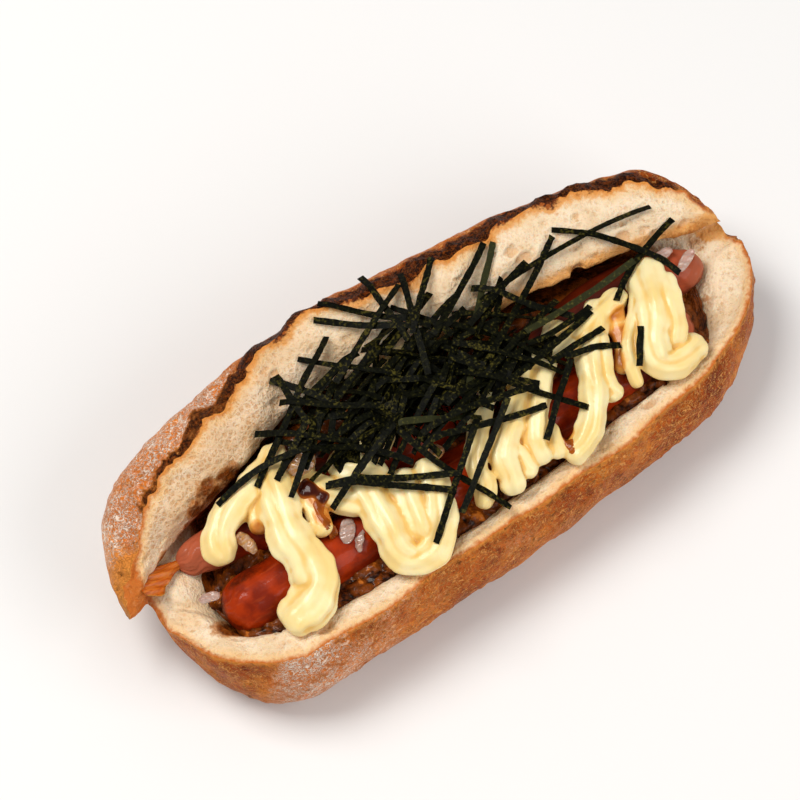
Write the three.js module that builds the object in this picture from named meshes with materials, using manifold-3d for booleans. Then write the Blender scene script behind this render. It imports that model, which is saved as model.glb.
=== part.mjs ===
// A hot dog: a long crusty roll split along one side and opened, with two sausages,
// sauce-soaked chopped onion, piped mayonnaise, onion flakes and shredded seaweed.
// Millimetres. +X runs along the roll, -Y is the open front, +Z is up, z = 0 is the base.
import * as THREE from 'three';
import Module from 'manifold-3d';
import { LoftGeometry } from 'three/addons/geometries/LoftGeometry.js';
import { mergeVertices } from 'three/addons/utils/BufferGeometryUtils.js';

const wasm = await Module();
wasm.setup();

// Driving dimensions
const ROLL_LEFT = -116.5; // tip of the lid at the left end
const ROLL_RIGHT = 118.5; // tip of the lower half at the right end
const TIP_STAGGER = { left: 8.5, right: 3 }; // how far the shorter half falls back at each end
const END_ROUND = { // length of each rounded end
  lidLeft: 50,
  lidRight: 22,
  baseLeft: 32,
  baseRight: 50,
};
const RIM_HEIGHT = 40; // top of the front half's cut edge
const SLIT_HEIGHT = 31; // height of the crease where the slit leaves the roll at both ends
const TIP_RADIUS = 1; // the small circle that closes each tip of the loaf
const SAUSAGE_RADIUS = 9.6;
const SAUSAGE_TIP = 11; // length over which a sausage's end rounds off
const KNOT_LENGTH = 22; // the longer, wrinkled taper at the tied end
const TAPER = { end: 0.55, knot: 0.9 }; // how slowly an end swells: 0.5 is a half circle
const GAP = 0.35; // clearance between neighbouring pieces
const CRUST_RELIEF = 0.6; // depth of the crust's dimples
const RIDGE_RELIEF = 1.3; // depth of the crags on the lid's torn ridge
const STRIP_WIDTH = 2.2; // one shred of seaweed
const STRIP_THICKNESS = 0.6;
const STRIP_LIFT = 0.6; // air under a shred
const HEAP_THICKNESS = 1.3; // matted middle of the seaweed heap
const HEAP_LIFT = 1.1; // air under it

// Facets
const BUN_STATIONS = 40;
const BUN_SIDES = 28;
const SLIT_STATIONS = 36;
const TROUGH_STEPS = 12; // round the trough, from the crumb's front edge to the lid's lip
const SAUSAGE_SIDES = 12;
const SAUSAGE_STATIONS = 15;
const STRAND_SIDES = 8;
const STRAND_STEP = 8;

// A smooth value along X through a few knots, each [x, value].
function curve(...knots) {
  const slope = (i) => {
    const a = knots[Math.max(i - 1, 0)];
    const b = knots[Math.min(i + 1, knots.length - 1)];
    return (b[1] - a[1]) / (b[0] - a[0]);
  };
  return (x) => {
    const last = knots.length - 1;
    if (x <= knots[0][0]) return knots[0][1];
    if (x >= knots[last][0]) return knots[last][1];
    const i = knots.findIndex((knot) => knot[0] > x) - 1;
    const span = knots[i + 1][0] - knots[i][0];
    const t = (x - knots[i][0]) / span;
    const rise = knots[i + 1][1] - knots[i][1];
    const bend0 = slope(i) * span - rise;
    const bend1 = rise - slope(i + 1) * span;
    return knots[i][1] + t * rise + t * (1 - t) * ((1 - t) * bend0 + t * bend1);
  };
}

const mix = (a, b, t) => a + (b - a) * t;
const clamp = (value, low, high) => Math.min(high, Math.max(low, value));
const smooth = (value, low, high) => {
  const t = clamp((value - low) / (high - low), 0, 1);
  return t * t * (3 - 2 * t);
};

// A repeatable draw between 0 and 1 for each seed.
function draw(seed) {
  const wave = Math.sin(seed * 127.1 + 311.7) * 43758.5453;
  return wave - Math.floor(wave);
}

// Slow uneven waves over two coordinates, between about -1 and 1.
function unevenness(a, b) {
  const long = Math.sin(a * 0.21 + b * 0.13) + Math.sin(a * 0.13 - b * 0.29 + 1.3);
  const short = Math.sin(a * 0.47 + 2.1) * Math.cos(b * 0.41 + 0.4);
  return (long + short) / 3;
}

// Closed solids

function solidFrom(geometry) {
  const bare = new THREE.BufferGeometry();
  bare.setAttribute('position', geometry.getAttribute('position'));
  bare.setIndex(geometry.getIndex());
  const merged = mergeVertices(bare, 1e-4);
  const triVerts = new Uint32Array(merged.index.array);
  const vertProperties = new Float32Array(merged.attributes.position.array);
  return new wasm.Manifold(new wasm.Mesh({ numProp: 3, vertProperties, triVerts }));
}

function centreOf(ring) {
  const total = ring.reduce((sum, point) => sum.add(point), new THREE.Vector3());
  return total.divideScalar(ring.length);
}

// A closed skin over rings of points. The rings are turned, if need be, to run counterclockwise
// as seen from the end, so that the skin faces out.
function loft(rings) {
  const middle = rings[Math.floor(rings.length / 2)];
  const facing = new THREE.Vector3();
  middle.forEach((point, i) => {
    const next = middle[(i + 1) % middle.length];
    const spoke = point.clone().sub(middle[0]);
    facing.add(spoke.cross(next.clone().sub(middle[0])));
  });
  const ahead = centreOf(rings[rings.length - 1]).sub(centreOf(rings[0]));
  const turned = facing.dot(ahead) > 0 ? rings : rings.map((ring) => ring.slice().reverse());
  return solidFrom(new LoftGeometry(turned, { capStart: true, capEnd: true }));
}

// The largest body of a solid, without scraps that a cut left loose.
const largest = (solid) => solid.decompose().sort((a, b) => b.volume() - a.volume())[0];

const unionOf = (solids) => solids.reduce((whole, next) => whole.add(next));

const without = (solid, neighbours) => solid.subtract(unionOf(neighbours));

function geometryOf(solid) {
  const mesh = solid.getMesh();
  const geometry = new THREE.BufferGeometry();
  const positions = new Float32Array(mesh.numVert * 3);
  for (let i = 0; i < mesh.numVert; i += 1) {
    positions.set(mesh.vertProperties.subarray(i * mesh.numProp, i * mesh.numProp + 3), i * 3);
  }
  geometry.setAttribute('position', new THREE.BufferAttribute(positions, 3));
  geometry.setIndex(new THREE.BufferAttribute(new Uint32Array(mesh.triVerts), 1));
  geometry.computeVertexNormals();
  return geometry;
}

// Outline of the roll along X

const middleY = curve([-118, -3], [0, 1], [118, 6]); // the line that both ends round off to
const bellyY = curve(
  [-118, -49], [-80, -49.5], [-45, -48], [0, -46], [33, -42.5], [64, -39], [90, -36.5], [118, -30],
);
const rimY = curve(
  [-118, -43.5], [-80, -45], [-56, -45.5], [-28, -42.5], [0, -41.5], [37, -39], [65, -34.5],
  [118, -26],
);
const backY = curve(
  [-118, 55], [-95, 47], [-77, 44.5], [-50, 47.5], [-8, 51], [41, 49], [85, 43], [118, 38],
);
const ridgeY = curve(
  [-118, 9], [-108, 17.5], [-92, 25.5], [-64, 31.5], [-46, 40], [-20, 44.5], [12, 38.5], [60, 40],
  [80, 37], [100, 29], [115, 22],
);
const ridgeZ = curve([-118, 53], [-60, 57], [-20, 60], [25, 59], [60, 56.5], [115, 51]);

// Outline of the slit along X
const crumbEdgeY = curve(
  [-118, -22], [-101, -24], [-82, -33], [-60, -37], [-17, -37], [20, -33], [60, -28], [90, -23],
  [118, -10],
);
const troughFrontY = curve(
  [-118, -14], [-110, -12], [-104, -9], [-95, -16], [-86, -27], [-60, -31], [20, -29], [60, -25],
  [80, -20], [91, -12], [98, -3], [106, 2.5], [118, 4],
);
const troughBackY = curve(
  [-118, -7], [-110, -5], [-104, -3], [-97, -8], [-90, -5], [-83, 4], [-70, 14], [-50, 21],
  [10, 22], [60, 20], [92, 15], [106, 10], [118, 9],
);
const troughZ = curve(
  [-118, 24], [-110, 26], [-105, 31], [-98, 31], [-92, 28], [-87, 24.5], [-81, 22.5], [0, 22],
  [85, 22.5], [95, 27], [105, 31], [118, 31],
);
const pocketY = curve(
  [-118, -3], [-110, -1], [-104, 6.5], [-88, 13], [-70, 17], [-50, 27], [10, 30], [60, 27],
  [92, 20], [106, 16], [118, 15],
);
const lipY = curve(
  [-118, -4], [-110, -1.5], [-104, 5], [-96, 9], [-88, 11.5], [-72, 15], [-52, 21.5], [-30, 26],
  [10, 21.3], [45, 18.8], [75, 16], [98, 12.6], [118, 11],
);
const lipZ = curve(
  [-118, 33], [-104, 35], [-88, 38], [-72, 42], [-50, 45], [80, 45], [100, 41], [118, 36],
);

// How round an end is: 1 along the roll's body, falling as a quarter ellipse to 0 at the tip.
function endRound(x, leftTip, leftLength, rightTip, rightLength) {
  const left = clamp((x - leftTip) / leftLength, 0, 1);
  const right = clamp((rightTip - x) / rightLength, 0, 1);
  return Math.sqrt(left * (2 - left)) * Math.sqrt(right * (2 - right));
}

// One ring of the whole loaf's outside; the slit is cut from it later.
function loafRing(station, grow) {
  const sweep = clamp(station, 0.012, 0.988) * Math.PI;
  const middle = (ROLL_LEFT + ROLL_RIGHT) / 2;
  const along = middle - Math.cos(sweep) * (ROLL_RIGHT - middle);
  const outline = new THREE.CatmullRomCurve3([
    new THREE.Vector3(0, backY(along) - 20, 0),
    new THREE.Vector3(0, bellyY(along) + 17, 0),
    new THREE.Vector3(0, bellyY(along) + 4, 6),
    new THREE.Vector3(0, bellyY(along), 20),
    new THREE.Vector3(0, rimY(along), RIM_HEIGHT),
    new THREE.Vector3(0, rimY(along) + 12, RIM_HEIGHT + 12),
    new THREE.Vector3(0, ridgeY(along) - 20, ridgeZ(along) + 6),
    new THREE.Vector3(0, ridgeY(along), ridgeZ(along)),
    new THREE.Vector3(0, mix(ridgeY(along), backY(along), 0.72), mix(ridgeZ(along), 42, 0.35)),
    new THREE.Vector3(0, backY(along), 38),
    new THREE.Vector3(0, backY(along) - 5, 14),
  ], true, 'centripetal');
  const ring = [];
  for (let j = 0; j < BUN_SIDES; j += 1) {
    const turn = j / BUN_SIDES;
    const point = outline.getPoint(turn);
    const tangent = outline.getTangent(turn);
    const lid = smooth(turn, 0.36, 0.52) * (1 - smooth(turn, 0.82, 0.96));
    const leftTip = ROLL_LEFT + TIP_STAGGER.left * (1 - lid);
    const rightTip = ROLL_RIGHT - TIP_STAGGER.right * lid;
    const x = mix(leftTip, rightTip, (along - ROLL_LEFT) / (ROLL_RIGHT - ROLL_LEFT));
    const leftLength = mix(END_ROUND.baseLeft, END_ROUND.lidLeft, lid);
    const rightLength = mix(END_ROUND.baseRight, END_ROUND.lidRight, lid);
    const round = endRound(x, leftTip, leftLength, rightTip, rightLength);
    const nearRidge = smooth(turn, 0.56, 0.64) * (1 - smooth(turn, 0.66, 0.76));
    const offBase = smooth(point.z, 2, 10);
    const crags = nearRidge * RIDGE_RELIEF * (Math.sin(x * 0.43) + Math.sin(x * 0.27 + 1)) * 0.5;
    const relief = offBase * (CRUST_RELIEF * unevenness(x, j * 4) + crags) + grow;
    const y = middleY(x) + round * (point.y - middleY(x)) - tangent.z * relief;
    const z = SLIT_HEIGHT + round * (Math.max(point.z, 0) - SLIT_HEIGHT) + tangent.y * relief;
    const lift = round > 0.999 && point.z < 0.4 ? -grow : z;
    ring.push(new THREE.Vector3(x, y, lift));
  }
  if (station > 0 && station < 1) return ring;
  // Each tip closes on a small circle.
  return ring.map((point, j) => {
    const angle = -Math.PI * (0.28 + (2 * j) / BUN_SIDES);
    const y = middleY(along) + TIP_RADIUS * Math.cos(angle);
    return new THREE.Vector3(along, y, SLIT_HEIGHT + TIP_RADIUS * Math.sin(angle));
  });
}

// Past a tip, the slit keeps this share of its full opening, so that it cuts right through.
const SHALLOWEST = 0.35;
const ABOVE_ROLL = 130;
const BEFORE_ROLL = -110;

// One ring of the slit: from outside the front rim, down through the trough, under the lip,
// up the lid's cut face and out past the ridge.
function slitRing(x, grow) {
  const wave = (phase, step) => 0.5 * Math.sin(x * step + phase);
  const lidTip = ROLL_RIGHT - TIP_STAGGER.right;
  const baseTip = ROLL_LEFT + TIP_STAGGER.left;
  const ridgeRound = endRound(x, ROLL_LEFT, END_ROUND.lidLeft, lidTip, END_ROUND.lidRight);
  const rimRound = endRound(x, baseTip, END_ROUND.baseLeft, ROLL_RIGHT, END_ROUND.baseRight);
  const lidShare = Math.max(SHALLOWEST, ridgeRound);
  const rimShare = Math.max(SHALLOWEST, rimRound);
  const ridge = [mix(middleY(x), ridgeY(x), lidShare), mix(SLIT_HEIGHT, ridgeZ(x), lidShare)];
  const rimZ = mix(SLIT_HEIGHT, RIM_HEIGHT, rimShare);
  const rim = [mix(middleY(x), rimY(x), rimShare), rimZ];
  const edge = [Math.max(crumbEdgeY(x), rim[0] + 4), rimZ - 2 + wave(0, 0.3)];
  const lip = [lipY(x), lipZ(x)];
  const trough = new THREE.CatmullRomCurve3([
    edge,
    [mix(edge[0], troughFrontY(x), 0.6), mix(edge[1], troughZ(x), 0.45)],
    [troughFrontY(x), troughZ(x) + 2],
    [mix(troughFrontY(x), troughBackY(x), 0.5), troughZ(x)],
    [troughBackY(x), troughZ(x) + 1.5],
    [pocketY(x), mix(troughZ(x), lip[1], 0.45)],
    [mix(pocketY(x), lip[0], 0.5), mix(troughZ(x), lip[1], 0.86)],
    lip,
  ].map(([y, z]) => new THREE.Vector3(0, y, z)), false, 'centripetal');
  const points = trough.getPoints(TROUGH_STEPS).map((point) => [point.y, point.z]);
  const face = (t, swell) => [
    mix(lip[0], ridge[0], t) - swell * 0.5,
    mix(lip[1], ridge[1], t) + swell,
  ];
  points.push(face(0.1, 1.4));
  points.push(face(0.4, 2 + wave(1, 0.35)));
  points.push(face(0.72, 1.2 + wave(2, 0.27)));
  points.push(ridge);
  points.push([ridge[0] + 30, ridge[1] + 25]);
  points.push([ridge[0] + 30, ABOVE_ROLL]);
  points.push([BEFORE_ROLL, ABOVE_ROLL]);
  points.push([BEFORE_ROLL, rimZ + 2]);
  points.push([rim[0] - 12, rimZ + 0.6]);
  points.push(rim);
  // Shrinking the slit by the clearance moves its walls inwards, along each point's normal.
  const last = points.length - 1;
  return points.map(([y, z], i) => {
    const before = points[i === 0 ? last : i - 1];
    const after = points[i === last ? 0 : i + 1];
    const run = Math.hypot(after[0] - before[0], after[1] - before[1]);
    const inY = -(after[1] - before[1]) / run;
    const inZ = (after[0] - before[0]) / run;
    return new THREE.Vector3(x, y + inY * grow, z + inZ * grow);
  });
}

const SLIT_OVERRUN = 8; // how far the slit's cut runs on past each tip
const slitStation = (i) => mix(ROLL_LEFT - SLIT_OVERRUN, ROLL_RIGHT + SLIT_OVERRUN, i / SLIT_STATIONS);

function makeBun(grow) {
  const loaf = [];
  for (let i = 0; i <= BUN_STATIONS; i += 1) loaf.push(loafRing(i / BUN_STATIONS, grow));
  const slit = [];
  for (let i = 0; i <= SLIT_STATIONS; i += 1) slit.push(slitRing(slitStation(i), grow));
  return largest(loft(loaf).subtract(loft(slit)));
}

const spineOf = (path) => new THREE.CatmullRomCurve3(
  path.map((point) => new THREE.Vector3(...point)),
  false,
  'centripetal',
);

// A round body carried along a path. size(t) gives [half width, half height] at t from 0 to 1,
// shape(angle, t) scales the radius, and the sections stay upright across the path.
function sweep(path, stations, sides, size, shape, grow) {
  const spine = spineOf(path);
  const up = new THREE.Vector3(0, 0, 1);
  const sections = [];
  for (let i = 0; i <= stations; i += 1) {
    const t = (1 - Math.cos((i / stations) * Math.PI)) / 2;
    const u = mix(t, i / stations, 0.55);
    const centre = spine.getPointAt(u);
    const tangent = spine.getTangentAt(u);
    const side = new THREE.Vector3().crossVectors(tangent, up).normalize();
    const over = new THREE.Vector3().crossVectors(side, tangent);
    const [halfWidth, halfHeight] = size(u);
    const nudge = tangent.clone().multiplyScalar(i === 0 ? -grow : i === stations ? grow : 0);
    const ring = [];
    for (let j = 0; j < sides; j += 1) {
      const angle = (j / sides) * Math.PI * 2;
      const scale = shape(angle, u);
      const point = centre.clone().add(nudge);
      point.addScaledVector(side, Math.cos(angle) * (halfWidth * scale + grow));
      point.addScaledVector(over, Math.sin(angle) * (halfHeight * scale + grow));
      ring.push(point);
    }
    sections.push(ring);
  }
  return loft(sections);
}

// The two sausages lie side by side in the trough.
const FRONT_SAUSAGE = [
  [-91, -17, 32.5], [-82, -18.5, 33.5], [-55, -19.4, 34], [0, -18.3, 34],
  [45, -15.6, 34], [72, -13, 33.5], [87, -9, 32.5],
];
const BACK_SAUSAGE = [
  [-95, 4.2, 33], [-84, 3.2, 33.7], [-68, 1.8, 34], [-50, 1.4, 34], [0, 2.2, 34], [45, 5.2, 34],
  [75, 7.6, 34], [102, 3.5, 33.5],
];
const CASING_TAIL = [[-91, 4, 33], [-97, 4.2, 33.6], [-103, 3.2, 35.2], [-109, 1.8, 37.3]];

// A sausage end: blunt and round, over endLength millimetres of a sausage of the given length.
function bluntEnd(distance, endLength, tipShare, taper = TAPER.end) {
  const t = clamp(distance / endLength, 0, 1);
  return mix(tipShare, 1, Math.pow(1 - (1 - t) * (1 - t), taper));
}

// A sausage whose left end tapers over leftTip millimetres and is puckered into five folds.
function makeSausage(path, leftTip, taper, pucker, grow) {
  const length = spineOf(path).getLength();
  const size = (u) => {
    const left = bluntEnd(u * length, leftTip, 0.18, taper);
    const right = bluntEnd((1 - u) * length, SAUSAGE_TIP, 0.16);
    return [SAUSAGE_RADIUS * left * right, SAUSAGE_RADIUS * left * right];
  };
  const wrinkle = (angle, u) => 1 - pucker * Math.sin(angle * 5) * (1 - smooth(u * length, 2, leftTip));
  return sweep(path, SAUSAGE_STATIONS, SAUSAGE_SIDES, size, wrinkle, grow);
}

const makeFrontSausage = (grow) => makeSausage(FRONT_SAUSAGE, SAUSAGE_TIP, TAPER.end, 0.04, grow);

function makeBackSausage(grow) {
  const body = makeSausage(BACK_SAUSAGE, KNOT_LENGTH, TAPER.knot, 0.06, grow);
  // The casing's twisted end fans out flat to the left of the knot.
  const tailSize = (u) => [mix(2.2, 4.6, smooth(u, 0.1, 0.9)) * (u > 0.97 ? 0.8 : 1), mix(1.9, 0.7, u)];
  const pleats = (angle) => 1 - 0.12 * Math.cos(angle * 4);
  return body.add(sweep(CASING_TAIL, 5, 8, tailSize, pleats, Math.min(grow, GAP)));
}

// Mayonnaise, piped in thick zigzags across the sausages. Each strand is
// [path, half width at its start, half width at its end, half height].
const MAYONNAISE = {
  mayonnaise_left: [
    [[[-54, 13, 47], [-64.5, 8.5, 47.5], [-71, 6.5, 47], [-78.5, 3, 46], [-82.5, -1.5, 44],
      [-83.5, -7, 42]], 5, 5.2, 4.4],
    [[[-51, 17, 46.5], [-56, 9.5, 48], [-60, 0, 48.5], [-63.5, -12, 48], [-62.5, -21.5, 46],
      [-63.5, -28.5, 44], [-69.5, -32.5, 42.5], [-79, -33, 41.5]], 5, 8.2, 4.8],
    [[[-47, 8.5, 47.5], [-50, 1.5, 47.5], [-51.5, -6, 47], [-53, -13, 46.5],
      [-54.5, -16.5, 45.5]], 4.6, 3.2, 4],
    [[[-54, 6, 46.5], [-47, -4.5, 47], [-40.5, -11, 47], [-32.5, -15, 47]], 5, 5.4, 4.6],
    [[[-38.5, 4.5, 47], [-35.5, -2, 48], [-31, -8, 48], [-27.5, -11.5, 47]], 5.6, 5, 4.6],
    [[[-36, -4.5, 47], [-36, -15, 47.5], [-36, -25.5, 46.5], [-36.5, -33.5, 44.5],
      [-34, -37, 43], [-28.5, -38, 43.5], [-22.5, -34, 45.5], [-19, -27, 47],
      [-17, -20.5, 47.5], [-15, -12, 48]], 5.6, 5, 4.8],
    [[[-24, -10.5, 47.2], [-25.5, -21, 47], [-27, -29, 46], [-29, -34.5, 44]], 6, 5.6, 4.4],
    [[[3, 24, 46], [-10, 16, 47.5], [-20, 5, 48.5], [-28, -4, 48.5]], 4.6, 5, 4.2],
  ],
  mayonnaise_middle: [
    [[[28, 10, 45.5], [15.5, -2.5, 47.5], [4, -14, 48.5], [-2.5, -23.5, 47.5], [-3, -29.5, 45],
      [-7, -34, 42.5]], 3.6, 3.4, 3.8],
    [[[36.5, 2, 46.5], [24, -8.5, 48], [14.5, -17, 48.5], [6.5, -25, 47.5], [5.5, -31, 45],
      [4.5, -35.5, 42.5]], 3.6, 4.2, 4.2],
    [[[10, -21.5, 47.5], [11.5, -26, 46.5], [12, -31, 44], [13.5, -33, 43]], 2.8, 2.6, 3.2],
    [[[47.5, 5.5, 45.5], [39, -1, 47.5], [31, -9, 48.5], [22.5, -19, 48.5], [18, -26, 46.5],
      [17, -32, 43.5]], 3.8, 4, 4.2],
    [[[24.5, -22.5, 48], [23.2, -29, 45.5], [22.5, -33, 43.5]], 3, 2.6, 3.4],
    [[[62.5, 4.5, 46], [55, -2.5, 47.5], [48, -11.5, 48.5], [42.5, -21.5, 48],
      [36.5, -29, 46.5], [30.5, -33, 44.5], [24, -34.5, 42.8]], 4.8, 4.2, 4.6],
    [[[55, -5.5, 48], [50.5, -15, 48.5], [48, -22, 46.5], [49, -26, 44]], 3.2, 3, 3.8],
    [[[70, 3.5, 46], [64.5, 1.5, 47.5], [55, -0.5, 48], [46, -2, 47.5]], 3.8, 4, 4],
    [[[18, -1.5, 47.6], [28, -2.5, 48], [38, -2, 48], [48, -2, 47.6]], 3.6, 3.6, 3.8],
  ],
  mayonnaise_right: [
    [[[74, 0.5, 48], [67, -7, 48.5], [60, -14, 47.5], [57.5, -21.5, 45], [57, -25.5, 42.5]], 2.3, 2.3, 3],
    [[[83, 9, 44.5], [77, -1.5, 48.5], [72.5, -10, 49], [67, -17, 47.5], [66, -22, 45],
      [69, -24.5, 43.5], [76.5, -24, 42], [83.5, -21.5, 41]], 7, 4.4, 5.2],
    [[[84, 1, 46], [79.5, -7.5, 49], [77, -14.5, 47], [72.5, -20.5, 45]], 5, 4.4, 5],
  ],
};

// A piped strand: full width, flatter below, with two soft grooves along its top and a blunt tip.
function makeStrand([path, startWidth, endWidth, halfHeight], grow) {
  const length = spineOf(path).getLength();
  const size = (u) => {
    const halfWidth = mix(startWidth, endWidth, u);
    const tip = bluntEnd(u * length, halfWidth, 0.3) * bluntEnd((1 - u) * length, halfWidth, 0.3);
    const swell = 1 + 0.07 * Math.sin(u * length * 0.55 + startWidth * 3);
    return [halfWidth * tip * swell, halfHeight * tip];
  };
  const lobes = (angle) => {
    const flatter = Math.sin(angle) < 0 ? 1 + 0.12 * Math.sin(angle) : 1;
    return flatter * (1 + 0.05 * Math.cos(angle * 3 - 0.6));
  };
  const stations = Math.max(4, Math.round(length / STRAND_STEP));
  return sweep(path, stations, STRAND_SIDES, size, lobes, grow);
}

const makeMayonnaise = (name, grow) => unionOf(
  MAYONNAISE[name].map((strand) => makeStrand(strand, grow)),
);

// The bed of chopped onion in brown sauce fills the trough around the sausages and shows
// along the front edge, at both ends and under the lip.
function makeRelish() {
  const first = 4;
  const final = SLIT_STATIONS - 4;
  const tops = 4;
  const bump = (x, y) => 0.8 * unevenness(x * 1.9, y * 1.7) + 0.7 * Math.sin(x * 1.3) * Math.sin(y * 1.1);
  const sections = [];
  for (let i = first; i <= final; i += 2) {
    const x = slitStation(i);
    const trough = slitRing(x, GAP + 0.1).slice(1, TROUGH_STEPS);
    const walls = trough.filter((point, j) => j % 2 === 0);
    const front = walls[0];
    const back = walls[walls.length - 1];
    const ring = walls.slice();
    for (let j = 1; j <= tops; j += 1) {
      const t = j / (tops + 1);
      const y = mix(back.y, front.y, t);
      const z = mix(back.z, front.z, t) + bump(x, y) * Math.sin(t * Math.PI);
      ring.push(new THREE.Vector3(x, y, z));
    }
    const ends = i === first || i === final ? 0.25 : 1;
    const centre = new THREE.Vector3(x, mix(front.y, back.y, 0.5), troughZ(x) + 6);
    sections.push(ring.map((point) => point.lerp(centre, 1 - ends)));
  }
  return loft(sections);
}

// Onion flakes: thin curved petals, each [x, y, z, length, width, thickness, turn, tilt].
const ONION_FLAKES = [
  [-46.5, -18.2, 44.2, 8, 5, 1.6, 0.9, 0],
  [-44.8, -22.5, 43.4, 7.5, 3, 1.5, 0.9, -0.5],
  [-93, -12.5, 39.5, 7, 3.2, 1.6, 2.9, -0.1],
  [-48.5, 5.5, 53.2, 9.5, 8, 4, 0.3, 0.1],
  [-75, -5.5, 45.8, 8.5, 4, 3.2, 1.75, 0.1],
  [14, 3.5, 51.5, 7, 6, 4, 0.6, 0],
  [-11, -12.5, 50, 6, 5, 3.6, 0.2, 0],
  [88, 8.5, 44, 11, 3.6, 1.7, 0.1, 0.2],
  [95, 3.5, 43.2, 9, 3.4, 1.6, 0.5, 0.1],
];

function makeFlake([x, y, z, length, width, thickness, turn, tilt], grow) {
  const ball = new THREE.IcosahedronGeometry(0.5, 1);
  const position = ball.getAttribute('position');
  for (let i = 0; i < position.count; i += 1) {
    const px = position.getX(i) * length;
    const py = position.getY(i) * width;
    const curl = (px / length) * (px / length) * -1.6 + 0.25 * Math.sin(px * 2.1 + py);
    const pz = position.getZ(i) * thickness + curl;
    const wider = (size) => 1 + (2 * grow) / size;
    position.setXYZ(i, px * wider(length), py * wider(width), pz + position.getZ(i) * 2 * grow);
  }
  const place = new THREE.Matrix4().makeRotationFromEuler(new THREE.Euler(tilt, 0, turn, 'ZXY'));
  place.setPosition(x, y, z);
  ball.applyMatrix4(place);
  return solidFrom(ball);
}

// The shreds of seaweed lie spread out round the heap's middle, thickest there: in two
// directions that cross, most of them along the first. Each is [x, y] to [x, y] seen from above.
const SHRED_COUNT = 30;
const SHRED_LENGTH = [24, 42];
const SHRED_TURNS = [0.5, 0.5, -0.7];
const HEAP_MIDDLE = [4, 7];
const HEAP_REACH = [72, 28];
const GOLDEN_ANGLE = Math.PI * (3 - Math.sqrt(5));

function shredEnds(i) {
  const reach = Math.pow((i + 0.5) / SHRED_COUNT, 0.6);
  const x = HEAP_MIDDLE[0] + HEAP_REACH[0] * reach * Math.cos(i * GOLDEN_ANGLE);
  const y = HEAP_MIDDLE[1] + HEAP_REACH[1] * reach * Math.sin(i * GOLDEN_ANGLE);
  const turn = SHRED_TURNS[i % SHRED_TURNS.length] + 0.9 * (draw(i + 100) - 0.5);
  const half = mix(SHRED_LENGTH[0], SHRED_LENGTH[1], draw(i + 200)) / 2;
  const [dx, dy] = [half * Math.cos(turn), half * Math.sin(turn)];
  return [x - dx, y - dy, x + dx, y + dy];
}

// Height of what lies under a point, over the given meshes.
function heightFinder(meshes) {
  const ray = new THREE.Raycaster();
  const down = new THREE.Vector3(0, 0, -1);
  return (x, y) => {
    ray.set(new THREE.Vector3(x, y, 200), down);
    const hits = ray.intersectObjects(meshes, false);
    return hits.length > 0 ? hits[0].point.z : 0;
  };
}

// A shred lies like a stiff ribbon: it bridges dips and bends only over the high points
// under it. These are the places along it where it bends.
function bends(heights) {
  const kept = [];
  heights.forEach((height, i) => {
    while (kept.length > 1) {
      const [a, b] = kept.slice(-2);
      const straight = mix(heights[a], height, (b - a) / (i - a));
      if (heights[b] > straight + 0.4) break;
      kept.pop();
    }
    kept.push(i);
  });
  return kept;
}

function makeShred([x0, y0, x1, y1], heightAt, seed) {
  const length = Math.hypot(x1 - x0, y1 - y0);
  const steps = Math.round(length / 2);
  const across = [-(y1 - y0) / length, (x1 - x0) / length];
  const half = STRIP_WIDTH / 2;
  const places = [];
  for (let i = 0; i <= steps; i += 1) places.push([mix(x0, x1, i / steps), mix(y0, y1, i / steps)]);
  const under = places.map(([x, y]) => Math.max(
    heightAt(x, y),
    heightAt(x - across[0] * half, y - across[1] * half),
    heightAt(x + across[0] * half, y + across[1] * half),
  ));
  const level = under.map((height, i) => Math.max(
    height,
    under[Math.max(i - 1, 0)],
    under[Math.min(i + 1, steps)],
  ));
  const kept = bends(level);
  const straight = (i) => {
    const k = Math.max(1, kept.findIndex((bend) => bend >= i));
    const [a, b] = [kept[k - 1], kept[k]];
    return mix(level[a], level[b], (i - a) / (b - a));
  };
  const shortfall = Math.max(...level.map((height, i) => height - straight(i)));
  const lift = STRIP_LIFT + shortfall + draw(seed) * 0.8;
  const sections = kept.map((i) => {
    const [x, y] = places[i];
    const corner = (side, height) => new THREE.Vector3(
      x + across[0] * half * side,
      y + across[1] * half * side,
      level[i] + lift + height,
    );
    return [corner(-1, 0), corner(1, 0), corner(1, STRIP_THICKNESS), corner(-1, STRIP_THICKNESS)];
  });
  return loft(sections);
}

// The matted middle of the heap follows what it lies on: a slab with a ragged edge.
const HEAP_ENDS = [-42, 46];
const heapMiddleY = curve([-42, 2], [-20, 7], [5, 6], [30, 2], [50, -6]);
const heapHalfWidth = curve([-42, 3], [-30, 9], [-5, 15], [20, 14], [38, 8], [50, 2.5]);

function makeHeapCore(heightAt) {
  const stations = 14;
  const steps = 6;
  const sections = [];
  for (let i = 0; i <= stations; i += 1) {
    const x = mix(HEAP_ENDS[0], HEAP_ENDS[1], i / stations);
    const half = heapHalfWidth(x) + 1.8 * Math.sin(x * 0.9) + 1.2 * Math.sin(x * 0.5 + 1);
    const lower = [];
    const upper = [];
    for (let j = 0; j <= steps; j += 1) {
      const y = heapMiddleY(x) + half * ((2 * j) / steps - 1);
      let under = heightAt(x, y);
      for (let k = 0; k < 8; k += 1) {
        const angle = (k / 8) * Math.PI * 2;
        under = Math.max(under, heightAt(x + 2.4 * Math.cos(angle), y + 2.1 * Math.sin(angle)));
      }
      const edge = j === 0 || j === steps ? 0.4 : 1;
      const thick = edge * (HEAP_THICKNESS + 0.4 * unevenness(x * 2, y * 2));
      lower.push(new THREE.Vector3(x, y, under + HEAP_LIFT));
      upper.push(new THREE.Vector3(x, y, under + HEAP_LIFT + thick));
    }
    sections.push([...lower, ...upper.reverse()]);
  }
  return loft(sections);
}

// The finished pieces, each cut clear of those it rests on

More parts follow.
